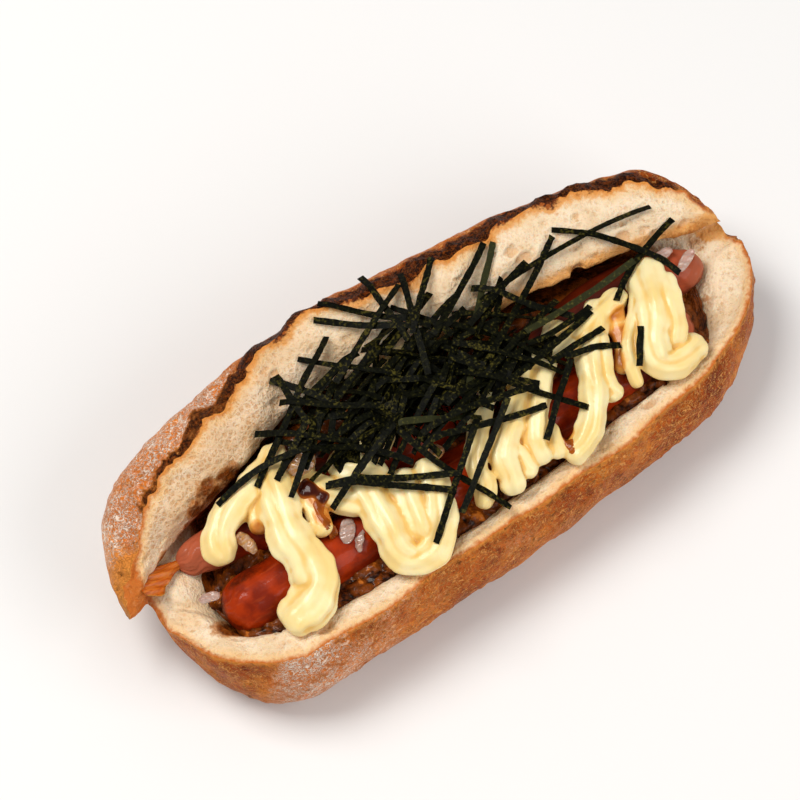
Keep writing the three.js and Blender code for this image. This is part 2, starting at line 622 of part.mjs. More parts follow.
const FINISH = {
  bun: { color: 0xb8763c, roughness: 0.85, metalness: 0 },
  sausage: { color: 0x8f3418, roughness: 0.3, metalness: 0 },
  mayonnaise: { color: 0xf3e3a0, roughness: 0.35, metalness: 0 },
  relish: { color: 0x5a2408, roughness: 0.4, metalness: 0 },
  onion: { color: 0xe3c9a8, roughness: 0.3, metalness: 0 },
  nori: { color: 0x171c10, roughness: 0.6, metalness: 0 },
};

const hotDog = new THREE.Group();

function addPiece(name, solid, finish) {
  const mesh = new THREE.Mesh(geometryOf(solid), new THREE.MeshStandardMaterial(finish));
  mesh.name = name;
  hotDog.add(mesh);
  return mesh;
}

const clearOfBun = makeBun(GAP);
const clearOfSausages = [makeFrontSausage(GAP), makeBackSausage(GAP)];

addPiece('bun', largest(without(makeBun(0), clearOfSausages)), FINISH.bun);
addPiece('sausage_front', makeFrontSausage(0), FINISH.sausage);
addPiece('sausage_back', makeBackSausage(0), FINISH.sausage);

const mayonnaiseClear = [];
for (const name of Object.keys(MAYONNAISE)) {
  const neighbours = [clearOfBun, ...clearOfSausages, ...mayonnaiseClear];
  addPiece(name, largest(without(makeMayonnaise(name, 0), neighbours)), FINISH.mayonnaise);
  mayonnaiseClear.push(makeMayonnaise(name, GAP));
}

const food = [clearOfBun, ...clearOfSausages, ...mayonnaiseClear];
ONION_FLAKES.forEach((flake, index) => {
  addPiece(`onion_${index + 1}`, largest(without(makeFlake(flake, 0), food)), FINISH.onion);
});
const onionsClear = ONION_FLAKES.map((flake) => makeFlake(flake, GAP));
addPiece('relish', largest(without(makeRelish(), [...food, ...onionsClear])), FINISH.relish);

hotDog.updateMatrixWorld(true);
const heightAt = heightFinder(hotDog.children.slice());
let heap = makeHeapCore(heightAt);
for (let i = 0; i < SHRED_COUNT; i += 1) heap = heap.add(makeShred(shredEnds(i), heightAt, i));
addPiece('nori', largest(without(heap, [...food, ...onionsClear])), FINISH.nori);

export default hotDog;
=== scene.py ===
"""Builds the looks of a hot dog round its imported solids.

Lengths are in millimetres and become metres where a mesh is made. +X runs along the roll,
-Y is its open front and +Z is up. Angles are in radians unless a name says degrees.
"""

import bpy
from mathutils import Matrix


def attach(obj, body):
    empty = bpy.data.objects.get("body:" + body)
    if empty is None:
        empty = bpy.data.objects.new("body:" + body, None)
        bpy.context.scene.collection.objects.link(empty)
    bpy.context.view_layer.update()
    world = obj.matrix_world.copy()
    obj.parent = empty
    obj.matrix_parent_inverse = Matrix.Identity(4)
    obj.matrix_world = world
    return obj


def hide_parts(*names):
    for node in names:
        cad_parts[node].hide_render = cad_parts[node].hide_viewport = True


bl_info = {
    "name": "Hot dog",
    "version": (1, 0, 0),
    "blender": (4, 5, 0),
    "location": "3D View > Sidebar > Hot dog",
    "description": "A filled crusty roll: bread, sausages, mayonnaise, relish, onion and seaweed",
    "category": "Add Mesh",
}

import bpy
import numpy as np
from mathutils import Vector

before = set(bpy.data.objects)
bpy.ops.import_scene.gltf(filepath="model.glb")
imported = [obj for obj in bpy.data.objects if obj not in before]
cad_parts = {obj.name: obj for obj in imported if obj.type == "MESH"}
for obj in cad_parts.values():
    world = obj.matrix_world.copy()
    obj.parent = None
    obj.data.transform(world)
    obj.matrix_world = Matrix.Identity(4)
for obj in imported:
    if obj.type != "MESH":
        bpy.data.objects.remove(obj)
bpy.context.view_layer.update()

MM = 0.001
GOLDEN_ANGLE = 2.399963

# Driving dimensions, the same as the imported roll's
ROLL_LEFT = -116.5
ROLL_RIGHT = 118.5
TIP_STAGGER = {"left": 8.5, "right": 3.0}
END_ROUND = {"lid_left": 50, "lid_right": 22, "base_left": 32, "base_right": 50}
RIM_HEIGHT = 40
SLIT_HEIGHT = 31


# Numbers

def in_mm(length):
    """A length from the panel in millimetres, rounded to drop what single precision adds."""
    return round(length / MM, 4)


def mix(a, b, share):
    """From a to b in a straight line."""
    return a + (b - a) * share


def smooth(value, low, high):
    """0 below low, 1 above high and an S curve between them."""
    t = np.clip((value - low) / (high - low), 0, 1)
    return t * t * (3 - 2 * t)


def curve(*knots):
    """A smooth value along X through (x, value) knots: the straight line between two knots, plus a
    cubic bend that meets the slopes of its neighbours."""
    xs, values = np.array(knots, float).T
    near = np.arange(len(xs))
    after = np.minimum(near + 1, len(xs) - 1)
    before = np.maximum(near - 1, 0)
    slopes = (values[after] - values[before]) / (xs[after] - xs[before])

    def at(x):
        x = np.clip(x, xs[0], xs[-1])
        i = np.clip(np.searchsorted(xs, x, side="right") - 1, 0, len(xs) - 2)
        span = xs[i + 1] - xs[i]
        t = (x - xs[i]) / span
        rise = values[i + 1] - values[i]
        bend = (1 - t) * (slopes[i] * span - rise) + t * (rise - slopes[i + 1] * span)
        return values[i] + t * rise + t * (1 - t) * bend

    return at


def spline(knots, places, closed=False):
    """Points of a centripetal Catmull-Rom curve. knots ends in (knots, dimensions), and each place
    from 0 to 1 counts the knots evenly: a cubic through two knots, with the slopes that a
    quadratic through each three neighbours has, spaced by the root of their distances."""
    first, last = knots[..., :1, :], knots[..., -1:, :]
    if closed:
        padded = np.concatenate([last, knots, knots[..., :2, :]], axis=-2)
        spans = knots.shape[-2]
    else:
        lead = 2 * first - knots[..., 1:2, :]
        tail = 2 * last - knots[..., -2:-1, :]
        padded = np.concatenate([lead, knots, tail], axis=-2)
        spans = knots.shape[-2] - 1
    place = np.clip(places, 0, 1) * spans
    i = np.minimum(place.astype(int), spans - 1)
    t = (place - i)[:, None]
    p0, p1, p2, p3 = (padded[..., i + k, :] for k in range(4))
    pairs = ((p0, p1), (p1, p2), (p2, p3))
    gaps = [np.sqrt(np.linalg.norm(b - a, axis=-1, keepdims=True)) for a, b in pairs]
    g0, g1, g2 = (np.maximum(gap, 1e-3) for gap in gaps)
    out = ((p1 - p0) / g0 - (p2 - p0) / (g0 + g1) + (p2 - p1) / g1) * g1
    into = ((p2 - p1) / g1 - (p3 - p1) / (g1 + g2) + (p3 - p2) / g2) * g1
    cubic = 2 * p1 - 2 * p2 + out + into
    square = -3 * p1 + 3 * p2 - 2 * out - into
    return p1 + out * t + square * t ** 2 + cubic * t ** 3


def even_places(knots, count, closed=False):
    """Places along a spline that are evenly spaced by length."""
    trial = np.linspace(0, 1, 600)
    line = spline(knots, trial, closed)
    length = np.concatenate([[0], np.cumsum(np.linalg.norm(np.diff(line, axis=0), axis=1))])
    wanted = np.linspace(0, length[-1], count, endpoint=not closed)
    return np.interp(wanted, length, trial)


# Unevenness

def hashed(cells, seed):
    """A repeatable number from 0 to 1 for each whole-numbered cell (..., 3)."""
    mixed = cells[..., 0] * 374761393 + cells[..., 1] * 668265263 + cells[..., 2] * 1274126177
    mixed = mixed + seed * 97531357
    mixed = (mixed ^ (mixed >> 13)) * 1103515245
    mixed = (mixed ^ (mixed >> 17)) * 668265263
    return ((mixed ^ (mixed >> 15)) & 0xFFFFFF) / 0xFFFFFF


def noise(points, size, seed=0):
    """Smooth unevenness from -1 to 1: random numbers at the corners of cubes of the given size,
    blended inside each cube."""
    place = np.asarray(points, float) / size
    cell = np.floor(place).astype(np.int64)
    t = place - cell
    t = t * t * (3 - 2 * t)
    total = 0
    for corner in np.ndindex(2, 2, 2):
        weight = np.prod(np.where(np.array(corner) == 1, t, 1 - t), axis=-1)
        total = total + weight * hashed(cell + np.array(corner), seed)
    return total * 2 - 1


def rough(points, size, octaves=3, seed=0):
    """Noise at the given size, plus half as much at each half size."""
    return sum(noise(points, size / 2 ** k, seed + k) / 2 ** k for k in range(octaves))


def cell_field(points, size, seed=0):
    """Distance to the nearest of the seeds scattered one to a cube, in cube sizes, and that seed's
    own number from 0 to 1."""
    place = np.asarray(points, float) / size
    cell = np.floor(place).astype(np.int64)
    nearest = np.full(place.shape[:-1], 9.0)
    number = np.zeros(place.shape[:-1])
    for step in np.ndindex(3, 3, 3):
        there = cell + np.array(step) - 1
        seeds = there + np.stack([hashed(there, seed + k) for k in range(3)], axis=-1)
        away = np.linalg.norm(place - seeds, axis=-1)
        closer = away < nearest
        nearest = np.where(closer, away, nearest)
        number = np.where(closer, hashed(there, seed + 9), number)
    return nearest, number


def pore_depth(points, spacing, widest, seed=0):
    """Depth of round pores: each cube of the given spacing holds one ball of its own radius, most
    of them small, and a point inside a ball sinks as deep as the ball is there."""
    place = np.asarray(points, float)
    cell = np.floor(place / spacing).astype(np.int64)
    depth = np.zeros(place.shape[:-1])
    for step in np.ndindex(3, 3, 3):
        there = cell + np.array(step) - 1
        centre = (there + np.stack([hashed(there, seed + k) for k in range(3)], axis=-1)) * spacing
        radius = widest * (0.2 + 0.8 * hashed(there, seed + 7) ** 1.7)
        offset = (place - centre) * [0.75, 1, 1]
        inside = 1 - (np.linalg.norm(offset, axis=-1) / radius) ** 2
        depth = np.maximum(depth, radius * np.sqrt(np.maximum(inside, 0)))
    return depth


# Meshes

def grid_quads(rows, columns):
    """Faces of a grid of points whose last column is joined to its first."""
    row = np.arange(rows - 1)[:, None] * columns
    column = np.arange(columns)[None, :]
    beside = (column + 1) % columns
    corners = (row + column, row + beside, row + columns + beside, row + columns + column)
    return np.stack(corners, axis=-1).reshape(-1, 4)


def capped(rings):
    """A closed skin over rings (rings, sides, 3): quads between them and a fan to each end's middle."""
    count, sides = rings.shape[:2]
    points = np.concatenate([rings.reshape(-1, 3), rings[:1].mean(axis=1), rings[-1:].mean(axis=1)])
    around = np.arange(sides)
    beside = (around + 1) % sides
    last = (count - 1) * sides
    first_cap = np.stack([beside, around, np.full(sides, count * sides)], axis=-1)
    last_cap = np.stack([last + around, last + beside, np.full(sides, count * sides + 1)], axis=-1)
    return points, [grid_quads(count, sides), first_cap, last_cap]


def joined(parts):
    """Several (points, faces) as one, with the number of the part that each point comes from."""
    points = np.concatenate([part[0] for part in parts])
    starts = np.cumsum([0] + [len(part[0]) for part in parts[:-1]])
    faces = [group + start for part, start in zip(parts, starts) for group in part[1]]
    numbers = np.repeat(np.arange(len(parts)), [len(part[0]) for part in parts])
    return points, faces, numbers


def signed_volume(points, faces):
    """Volume inside a closed skin, positive where its faces point out."""
    total = 0
    for group in faces:
        for k in range(1, group.shape[1] - 1):
            a, b, c = (points[group[:, i]] for i in (0, k, k + 1))
            total += np.sum(a * np.cross(b, c)) / 6
    return total


def add_mesh(name, points, faces, materials, values=None, slots=None):
    """A new smooth-shaded object from points in millimetres and groups of faces. values are
    numbers kept at each point, by name."""
    if signed_volume(points, faces) < 0:
        faces = [group[:, ::-1] for group in faces]
    mesh = bpy.data.meshes.new(name)
    mesh.vertices.add(len(points))
    mesh.vertices.foreach_set("co", (points * MM).ravel())
    corners = np.concatenate([group.ravel() for group in faces])
    sizes = np.concatenate([np.full(len(group), group.shape[1]) for group in faces])
    mesh.loops.add(len(corners))
    mesh.loops.foreach_set("vertex_index", corners)
    mesh.polygons.add(len(sizes))
    mesh.polygons.foreach_set("loop_start", np.cumsum(sizes) - sizes)
    mesh.polygons.foreach_set("use_smooth", np.ones(len(sizes), bool))
    for material in materials:
        mesh.materials.append(material)
    if slots is not None:
        mesh.polygons.foreach_set("material_index", np.concatenate(slots))
    for key, numbers in (values or {}).items():
        keep_values(mesh, key, numbers)
    mesh.update(calc_edges=True)
    mesh.validate()
    piece = bpy.data.objects.new(name, mesh)
    bpy.context.scene.collection.objects.link(piece)
    return piece


def keep_values(mesh, key, numbers):
    """Stores one number a point under a name that materials read."""
    attribute = mesh.attributes.get(key) or mesh.attributes.new(key, "FLOAT", "POINT")
    attribute.data.foreach_set("value", np.ascontiguousarray(numbers, dtype=np.float32))


def points_of(piece):
    """A mesh's points in millimetres."""
    flat = np.empty(len(piece.data.vertices) * 3)
    piece.data.vertices.foreach_get("co", flat)
    return flat.reshape(-1, 3) / MM


def apply_modifier(piece, kind, **settings):
    """Adds a modifier with the given settings and applies it."""
    modifier = piece.modifiers.new(kind.title(), kind)
    for key, value in settings.items():
        setattr(modifier, key, value)
    with bpy.context.temp_override(object=piece, active_object=piece, selected_objects=[piece]):
        bpy.ops.object.modifier_apply(modifier=modifier.name)


def keep_largest_body(piece):
    """Deletes the loose scraps that a cut leaves. Each point takes the lowest number among its
    neighbours until nothing changes, so that a body's points share one number."""
    mesh = piece.data
    ends = np.empty(len(mesh.edges) * 2, dtype=np.int32)
    mesh.edges.foreach_get("vertices", ends)
    a, b = ends.reshape(-1, 2).T
    label = np.arange(len(mesh.vertices))
    changed = True
    while changed:
        before = label.copy()
        lowest = np.minimum(label[a], label[b])
        np.minimum.at(label, a, lowest)
        np.minimum.at(label, b, lowest)
        label = label[label]
        changed = not np.array_equal(before, label)
    keep = label == np.bincount(label).argmax()
    if keep.all():
        return
    mesh.vertices.foreach_set("select", ~keep)
    with bpy.context.temp_override(object=piece, active_object=piece, selected_objects=[piece]):
        bpy.context.view_layer.objects.active = piece
        bpy.ops.object.mode_set(mode="EDIT")
        bpy.ops.mesh.delete(type="VERT")
        bpy.ops.object.mode_set(mode="OBJECT")


def hollows(piece, rounds=24):
    """How far each point lies below the surface that smoothing would give, in millimetres: more
    than 0 in creases and less on crests. Each round moves every point halfway to the mean of its
    neighbours."""
    mesh = piece.data
    count = len(mesh.vertices)
    ends = np.empty(len(mesh.edges) * 2, dtype=np.int32)
    mesh.edges.foreach_get("vertices", ends)
    a, b = ends.reshape(-1, 2).T
    neighbours = np.bincount(a, minlength=count) + np.bincount(b, minlength=count)
    points = points_of(piece)
    soft = points
    for _ in range(rounds):
        sums = [np.bincount(a, soft[b, k], count) + np.bincount(b, soft[a, k], count) for k in range(3)]
        soft = mix(soft, np.stack(sums, axis=-1) / neighbours[:, None], 0.5)
    normals = np.empty(count * 3)
    mesh.vertices.foreach_get("normal", normals)
    return np.sum((soft - points) * normals.reshape(-1, 3), axis=1)


def finish_piece(piece, slot, *nodes):
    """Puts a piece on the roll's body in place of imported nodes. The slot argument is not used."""
    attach(piece, "root")
    if nodes:
        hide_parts(*nodes)


# Materials

def paint(red, green, blue):
    """A linear colour from display values of 0 to 255."""
    shown = np.array([red, green, blue]) / 255
    linear = np.where(shown <= 0.04045, shown / 12.92, ((shown + 0.055) / 1.055) ** 2.4)
    return (*linear.tolist(), 1.0)


class Finish:
    """A material in the making: each method adds a node and returns its output."""

    def __init__(self, name, **constants):
        self.material = bpy.data.materials.new(name)
        self.material.use_nodes = True
        self.tree = self.material.node_tree
        self.shader = self.tree.nodes["Principled BSDF"]
        for key, value in constants.items():
            self.shader.inputs[key.replace("_", " ")].default_value = value
        self.place = self.tree.nodes.new("ShaderNodeTexCoord").outputs["Object"]

    def feed(self, socket, value):
        """Links an output to a socket, or sets a number or colour on it."""
        if isinstance(value, bpy.types.NodeSocket):
            self.tree.links.new(value, socket)
        else:
            socket.default_value = value

    def value(self, key):
        """The number that the mesh keeps under this name."""
        node = self.tree.nodes.new("ShaderNodeAttribute")
        node.attribute_name = key
        return node.outputs["Fac"]

    def spots(self, size, detail=2.0, roughness=0.5, distortion=0.0, stretch=None):
        """Soft noise from 0 to 1, with features of about the given size."""
        node = self.tree.nodes.new("ShaderNodeTexNoise")
        node.inputs["Scale"].default_value = 1 / (size * MM)
        node.inputs["Detail"].default_value = detail
        node.inputs["Roughness"].default_value = roughness
        node.inputs["Distortion"].default_value = distortion
        self.feed(node.inputs["Vector"], self.stretched(stretch))
        return node.outputs["Fac"]

    def webs(self, size, wander, width):
        """1 on the thin wandering walls between cells of about the given size, 0 in the cells."""
        bend = self.tree.nodes.new("ShaderNodeTexNoise")
        bend.inputs["Scale"].default_value = 0.6 / (size * MM)
        self.feed(bend.inputs["Vector"], self.place)
        shift = self.tree.nodes.new("ShaderNodeVectorMath")
        shift.operation = "MULTIPLY_ADD"
        self.feed(shift.inputs[0], bend.outputs["Color"])
        shift.inputs[1].default_value = (wander * MM,) * 3
        self.feed(shift.inputs[2], self.place)
        node = self.tree.nodes.new("ShaderNodeTexVoronoi")
        node.feature = "DISTANCE_TO_EDGE"
        node.inputs["Scale"].default_value = 1 / (size * MM)
        self.feed(node.inputs["Vector"], shift.outputs["Vector"])
        return self.band(node.outputs["Distance"], 0.0, width, 1.0, 0.0)

    def holes(self, size, reach):
        """Round holes scattered about this far apart: 1 in each one's middle, 0 outside it."""
        node = self.tree.nodes.new("ShaderNodeTexVoronoi")
        node.inputs["Scale"].default_value = 1 / (size * MM)
        self.feed(node.inputs["Vector"], self.place)
        return self.band(node.outputs["Distance"], reach * 0.3, reach, 1.0, 0.0)

    def curls(self, size, width):
        """Thin curly lines, where a distorted noise crosses its middle value."""
        noise_value = self.spots(size, detail=1, distortion=1.6)
        away = self.sum(self.sum(noise_value, 0.5, "SUBTRACT"), 0.0, "ABSOLUTE")
        return self.band(away, 0.0, width, 1.0, 0.0)

    def stretched(self, factors):
        """Object coordinates, scaled along each axis."""
        if factors is None:
            return self.place
        node = self.tree.nodes.new("ShaderNodeMapping")
        node.inputs["Scale"].default_value = factors
        self.feed(node.inputs["Vector"], self.place)
        return node.outputs["Vector"]

    def band(self, value, low, high, start=0.0, end=1.0):
        """Start below low and end above high, with an S curve between."""
        node = self.tree.nodes.new("ShaderNodeMapRange")
        node.interpolation_type = "SMOOTHSTEP"
        numbers = {"Value": value, "From Min": low, "From Max": high, "To Min": start, "To Max": end}
        for key, number in numbers.items():
            self.feed(node.inputs[key], number)
        return node.outputs["Result"]

    def sum(self, a, b, how="ADD"):
        """Arithmetic on two numbers."""
        node = self.tree.nodes.new("ShaderNodeMath")
        node.operation = how
        self.feed(node.inputs[0], a)
        self.feed(node.inputs[1], b)
        return node.outputs[0]

    def times(self, a, b):
        """The product of two numbers."""
        return self.sum(a, b, "MULTIPLY")

    def blend(self, factor, a, b):
        """Two colours mixed by a factor."""
        node = self.tree.nodes.new("ShaderNodeMix")
        node.data_type = "RGBA"
        self.feed(node.inputs["Factor"], factor)
        self.feed(node.inputs[6], a)
        self.feed(node.inputs[7], b)
        return node.outputs[2]

    def set(self, key, value):
        """Gives the shader's named input an output, a number or a colour."""
        self.feed(self.shader.inputs[key], value)

    def bump(self, *layers):
        """Fine relief from (height, depth in millimetres) layers, added together."""
        total = None
        for height, depth in layers:
            layer = self.times(height, depth)
            total = layer if total is None else self.sum(total, layer)
        node = self.tree.nodes.new("ShaderNodeBump")
        node.inputs["Strength"].default_value = 1.0
        node.inputs["Distance"].default_value = MM
        self.feed(node.inputs["Height"], total)
        self.feed(self.shader.inputs["Normal"], node.outputs["Normal"])


def crust_finish(settings):
    """Baked crust: golden to deep brown in soft blotches, finely wrinkled, burnt on the crags and
    dusted with flour that gathers in the wrinkles."""
    finish = Finish("crust", Roughness=0.5, Specular_IOR_Level=0.06)
    blotches = finish.spots(15, detail=3, roughness=0.6)
    mottle = finish.spots(3.4, detail=4, roughness=0.65)
    fine = finish.spots(0.9, detail=3, roughness=0.7)
    wrinkles = finish.curls(2.6, 0.05)
    creases = finish.curls(4.2, 0.03)
    lines = finish.sum(wrinkles, creases, "MAXIMUM")
    tone = finish.sum(finish.times(blotches, 0.45), finish.times(mottle, 0.3))
    tone = finish.sum(tone, finish.times(fine, 0.25))
    colour = finish.blend(finish.band(tone, 0.4, 0.5), settings.crust_dark, settings.crust)
    colour = finish.blend(finish.band(tone, 0.5, 0.6), colour, settings.crust_pale)
    colour = finish.blend(finish.times(lines, 0.75), colour, paint(240, 170, 92))
    reach = finish.sum(finish.value("edge"), finish.times(mottle, -3.0))
    colour = finish.blend(finish.band(reach, -1.2, 0.8, 0.75, 0.0), colour, paint(226, 146, 64))
    flakes = finish.band(finish.spots(1.3, detail=3, roughness=0.7), 0.46, 0.6)
    char = finish.blend(flakes, paint(36, 14, 6), paint(112, 50, 14))
    char = finish.blend(finish.times(lines, 0.45), char, paint(164, 90, 36))
    burnt = finish.band(finish.sum(finish.value("burnt"), finish.times(mottle, 1.5)), 0.8, 1.2)
    colour = finish.blend(burnt, colour, char)
    grain = finish.band(fine, 0.6, 0.72, 0.0, 0.4)
    dusted = finish.sum(lines, finish.curls(1.9, 0.045), "MAXIMUM")
    powder = finish.sum(finish.value("flour"), finish.times(mottle, 1.8))
    powder = finish.sum(powder, finish.times(burnt, -0.8))
    caught = finish.times(finish.sum(dusted, grain, "MAXIMUM"), finish.band(powder, 1.4, 1.95))
    heaped = finish.band(finish.sum(powder, finish.times(fine, 0.8)), 2.4, 2.75, 0.0, 0.5)
    flour = finish.sum(caught, heaped, "MAXIMUM")
    colour = finish.blend(finish.band(powder, 1.0, 1.8, 0.0, 0.6), colour, paint(226, 134, 60))
    colour = finish.blend(finish.times(flour, 0.92), colour, settings.flour)
    finish.set("Base Color", colour)
    finish.set("Roughness", finish.band(flour, 0.0, 0.8, 0.42, 0.85))
    finish.bump((mottle, 0.6), (fine, 0.35), (lines, 0.3), (finish.times(burnt, flakes), 0.5))
    return finish.material


def crumb_finish(settings):
    """Open crumb: a pale moist web round pores, with painted shade in the pores and in the cells
    between the web's walls, golden where it is toasted and brown where the sauce has soaked in.
    Painted shade also darkens the lid's left face and, with the sauce, the pocket under the lip."""
    finish = Finish(
        "crumb",
        Roughness=0.8,
        Specular_IOR_Level=0.2,
        Subsurface_Weight=0.3,
        Subsurface_Radius=(1.0, 0.6, 0.35),
        Subsurface_Scale=0.0015,
    )
    patches = finish.spots(9, detail=2)
    mottle = finish.spots(1.8, detail=3, roughness=0.6)
    walls = finish.webs(1.7, 1.6, 0.3)
    threads = finish.webs(0.75, 0.8, 0.35)
    web = finish.sum(finish.times(walls, 0.6), finish.times(threads, 0.4))
    colour = finish.blend(finish.band(patches, 0.35, 0.65), settings.crumb_shade, settings.crumb)
    holes = finish.sum(finish.holes(3.6, 0.4), finish.holes(2.0, 0.38), "MAXIMUM")
    pore = finish.sum(finish.value("pore"), holes)
    # Painted shade in the pores: darker where they are deep, less on the web's walls
    painted_pore_shade = finish.band(finish.sum(pore, finish.times(web, -0.4)), 0.0, 1.5)
    colour = finish.blend(finish.times(painted_pore_shade, 0.7), colour, paint(214, 166, 116))
    # Painted shade in the cells between the web's walls
    colour = finish.blend(finish.band(web, 0.05, 0.6, 0.42, 0.0), colour, paint(226, 184, 134))
    # Painted shade on the lid's left face, softer on the web's walls
    shaded = finish.times(finish.value("shaded"), finish.band(web, 0.0, 0.7, 0.75, 0.25))
    colour = finish.blend(shaded, colour, paint(190, 132, 78))
    reach = finish.sum(finish.value("edge"), finish.times(mottle, -2.6))
    near_crust = finish.band(reach, 0.2, 3.4, 0.5, 0.0)
    colour = finish.blend(near_crust, colour, paint(236, 186, 116))
    colour = finish.blend(finish.band(reach, -1.3, 0.5, 1.0, 0.0), colour, paint(196, 108, 40))
    browned = finish.sum(finish.value("burnt"), finish.times(mottle, 1.1))
    browned = finish.sum(browned, finish.times(finish.value("edge"), -0.2))
    colour = finish.blend(finish.band(browned, 0.7, 1.2, 0.0, 0.8), colour, paint(220, 148, 70))
    charred = finish.band(finish.spots(1.2, detail=3), 0.45, 0.6)
    dark = finish.blend(charred, paint(70, 26, 8), paint(160, 84, 30))
    colour = finish.blend(finish.band(browned, 1.3, 1.6), colour, dark)
    golden = finish.band(finish.sum(finish.value("golden"), finish.times(mottle, 0.8)), 0.5, 1.3)
    colour = finish.blend(finish.times(golden, 0.9), colour, paint(224, 158, 82))
    # Sauce soaked into the crumb; in the pocket under the lip this brown is partly painted shade
    soaked = finish.sum(finish.value("soaked"), finish.times(mottle, 0.9))
    colour = finish.blend(finish.band(soaked, 0.5, 0.85, 0.0, 0.8), colour, paint(186, 116, 48))
    wet = finish.band(soaked, 0.8, 1.15)
    brown = finish.blend(finish.band(mottle, 0.4, 0.6), paint(78, 30, 6), paint(142, 74, 22))
    colour = finish.blend(wet, colour, brown)
    finish.set("Base Color", colour)
    finish.set("Roughness", finish.band(wet, 0.0, 1.0, 0.8, 0.35))
    finish.bump((walls, 0.14), (threads, 0.07), (mottle, 0.1), (holes, -0.18))
    return finish.material


def sausage_finish(settings):
    """Moist red-brown casing, paler and pinker at its ends, with lighter lengthwise streaks of
    painted highlight, and stains that darken towards its bottom and, on the back one, under the lid
    with sauce and painted shade.
    """
    finish = Finish(
        "sausage_skin",
        Roughness=0.42,
        Specular_IOR_Level=0.1,
        Coat_Weight=0.16,
        Coat_Roughness=0.07,
    )
    blotches = finish.spots(7, detail=3)
    fine = finish.spots(0.9, detail=2)
    highlight_streaks = finish.spots(1.4, detail=2, stretch=(0.15, 1, 1))
    colour = finish.blend(finish.band(blotches, 0.35, 0.65), settings.sausage_dark, settings.sausage)
    # Lighter orange lengthwise streaks: painted highlights along the casing
    colour = finish.blend(finish.band(highlight_streaks, 0.55, 0.75, 0.0, 0.3), colour, paint(186, 76, 24))
    colour = finish.blend(finish.times(finish.value("pale"), 0.85), colour, paint(188, 104, 72))
    # Stains: random patches, darker towards the bottom, and on the back sausage painted shade and sauce under
    # the lid
    stained = finish.band(finish.sum(finish.value("stained"), finish.times(fine, 0.5)), 0.4, 0.9)
    colour = finish.blend(finish.times(stained, 0.85), colour, paint(62, 17, 5))
    finish.set("Base Color", colour)
    finish.bump((fine, 0.07), (highlight_streaks, 0.12), (blotches, 0.3))
    return finish.material


def casing_finish():
    """The thin twisted end of a casing, stained orange, which light sinks into."""
    finish = Finish(
        "casing",
        Roughness=0.3,
        Specular_IOR_Level=0.15,
        Coat_Weight=0.15,
        Coat_Roughness=0.15,
        Subsurface_Weight=0.4,
        Subsurface_Radius=(1.0, 0.4, 0.1),
        Subsurface_Scale=0.003,
    )
    pleats = finish.spots(1.1, detail=1, stretch=(0.12, 1, 1))
    patches = finish.spots(5, detail=1)
    colour = finish.blend(finish.band(pleats, 0.4, 0.62), paint(166, 78, 12), paint(190, 104, 34))
    colour = finish.blend(finish.band(patches, 0.5, 0.7, 0.0, 0.3), colour, paint(200, 120, 60))
    finish.set("Base Color", colour)
    finish.bump((pleats, 0.06))
    return finish.material


def mayonnaise_finish(settings):
    """Smooth cream with a soft gloss; painted shade turns it yellow and then amber down in its folds
    and low parts.
    """
    finish = Finish(
        "mayonnaise",
        Roughness=0.3,
        Specular_IOR_Level=0.35,
        Coat_Weight=0.15,
        Coat_Roughness=0.12,
        Subsurface_Weight=0.3,
        Subsurface_Radius=(1.0, 0.75, 0.35),
        Subsurface_Scale=0.002,
    )
    patches = finish.spots(11, detail=2)
    fine = finish.spots(2.6, detail=2)
    colour = finish.blend(finish.band(patches, 0.35, 0.65), settings.mayonnaise, settings.mayonnaise_deep)
    painted_fold_shade = finish.value("painted_fold_shade")
    # Painted shade in the creases and low parts: yellow, then amber where deepest
    colour = finish.blend(finish.band(painted_fold_shade, -0.1, 0.4, 0.0, 0.85), colour, paint(236, 190, 98))
    colour = finish.blend(finish.band(painted_fold_shade, 0.4, 1.1, 0.0, 0.7), colour, paint(206, 142, 52))
    stained = finish.sum(finish.value("stained"), finish.times(fine, 0.5))
    colour = finish.blend(finish.band(stained, 0.4, 0.9, 0.0, 0.8), colour, paint(230, 156, 44))
    colour = finish.blend(finish.band(stained, 0.9, 1.4, 0.0, 0.85), colour, paint(184, 96, 12))
    finish.set("Base Color", colour)
    finish.bump((fine, 0.12))
    return finish.material


def relish_finish(settings):
    """Chopped onion soaked in dark sauce: brown bits, a few of them amber, in a nearly black glaze."""
    finish = Finish(
        "relish",
        Roughness=0.45,
        Specular_IOR_Level=0.1,
        Coat_Weight=0.2,
        Coat_Roughness=0.04,
    )
    height = finish.value("bit")
    number = finish.value("tone")
    mottle = finish.spots(1.4, detail=3, roughness=0.6)
    fine = finish.spots(0.5, detail=2)
    tone = finish.band(finish.sum(number, mottle), 0.5, 1.2)
    colour = finish.blend(tone, settings.relish_dark, settings.relish)
    amber = finish.band(finish.sum(number, finish.times(mottle, 0.4)), 0.98, 1.12)
    colour = finish.blend(finish.times(amber, 0.85), colour, paint(186, 104, 30))
    low = finish.band(finish.sum(height, finish.times(mottle, 0.5)), 0.2, 0.75, 1.0, 0.0)
    colour = finish.blend(low, colour, paint(14, 5, 2))
    finish.set("Base Color", colour)
    finish.bump((mottle, 0.45), (fine, 0.15))
    return finish.material


def sauce_finish(settings):
    """Dark sauce in a thin glossy film."""
    finish = Finish(
        "sauce",
        Roughness=0.2,
        Specular_IOR_Level=0.12,
        Coat_Weight=0.2,
        Coat_Roughness=0.03,
    )
    thick = finish.value("thick")
    colour = finish.blend(finish.band(thick, 0.2, 0.8), paint(168, 84, 16), settings.sauce)
    finish.set("Base Color", colour)
    return finish.material


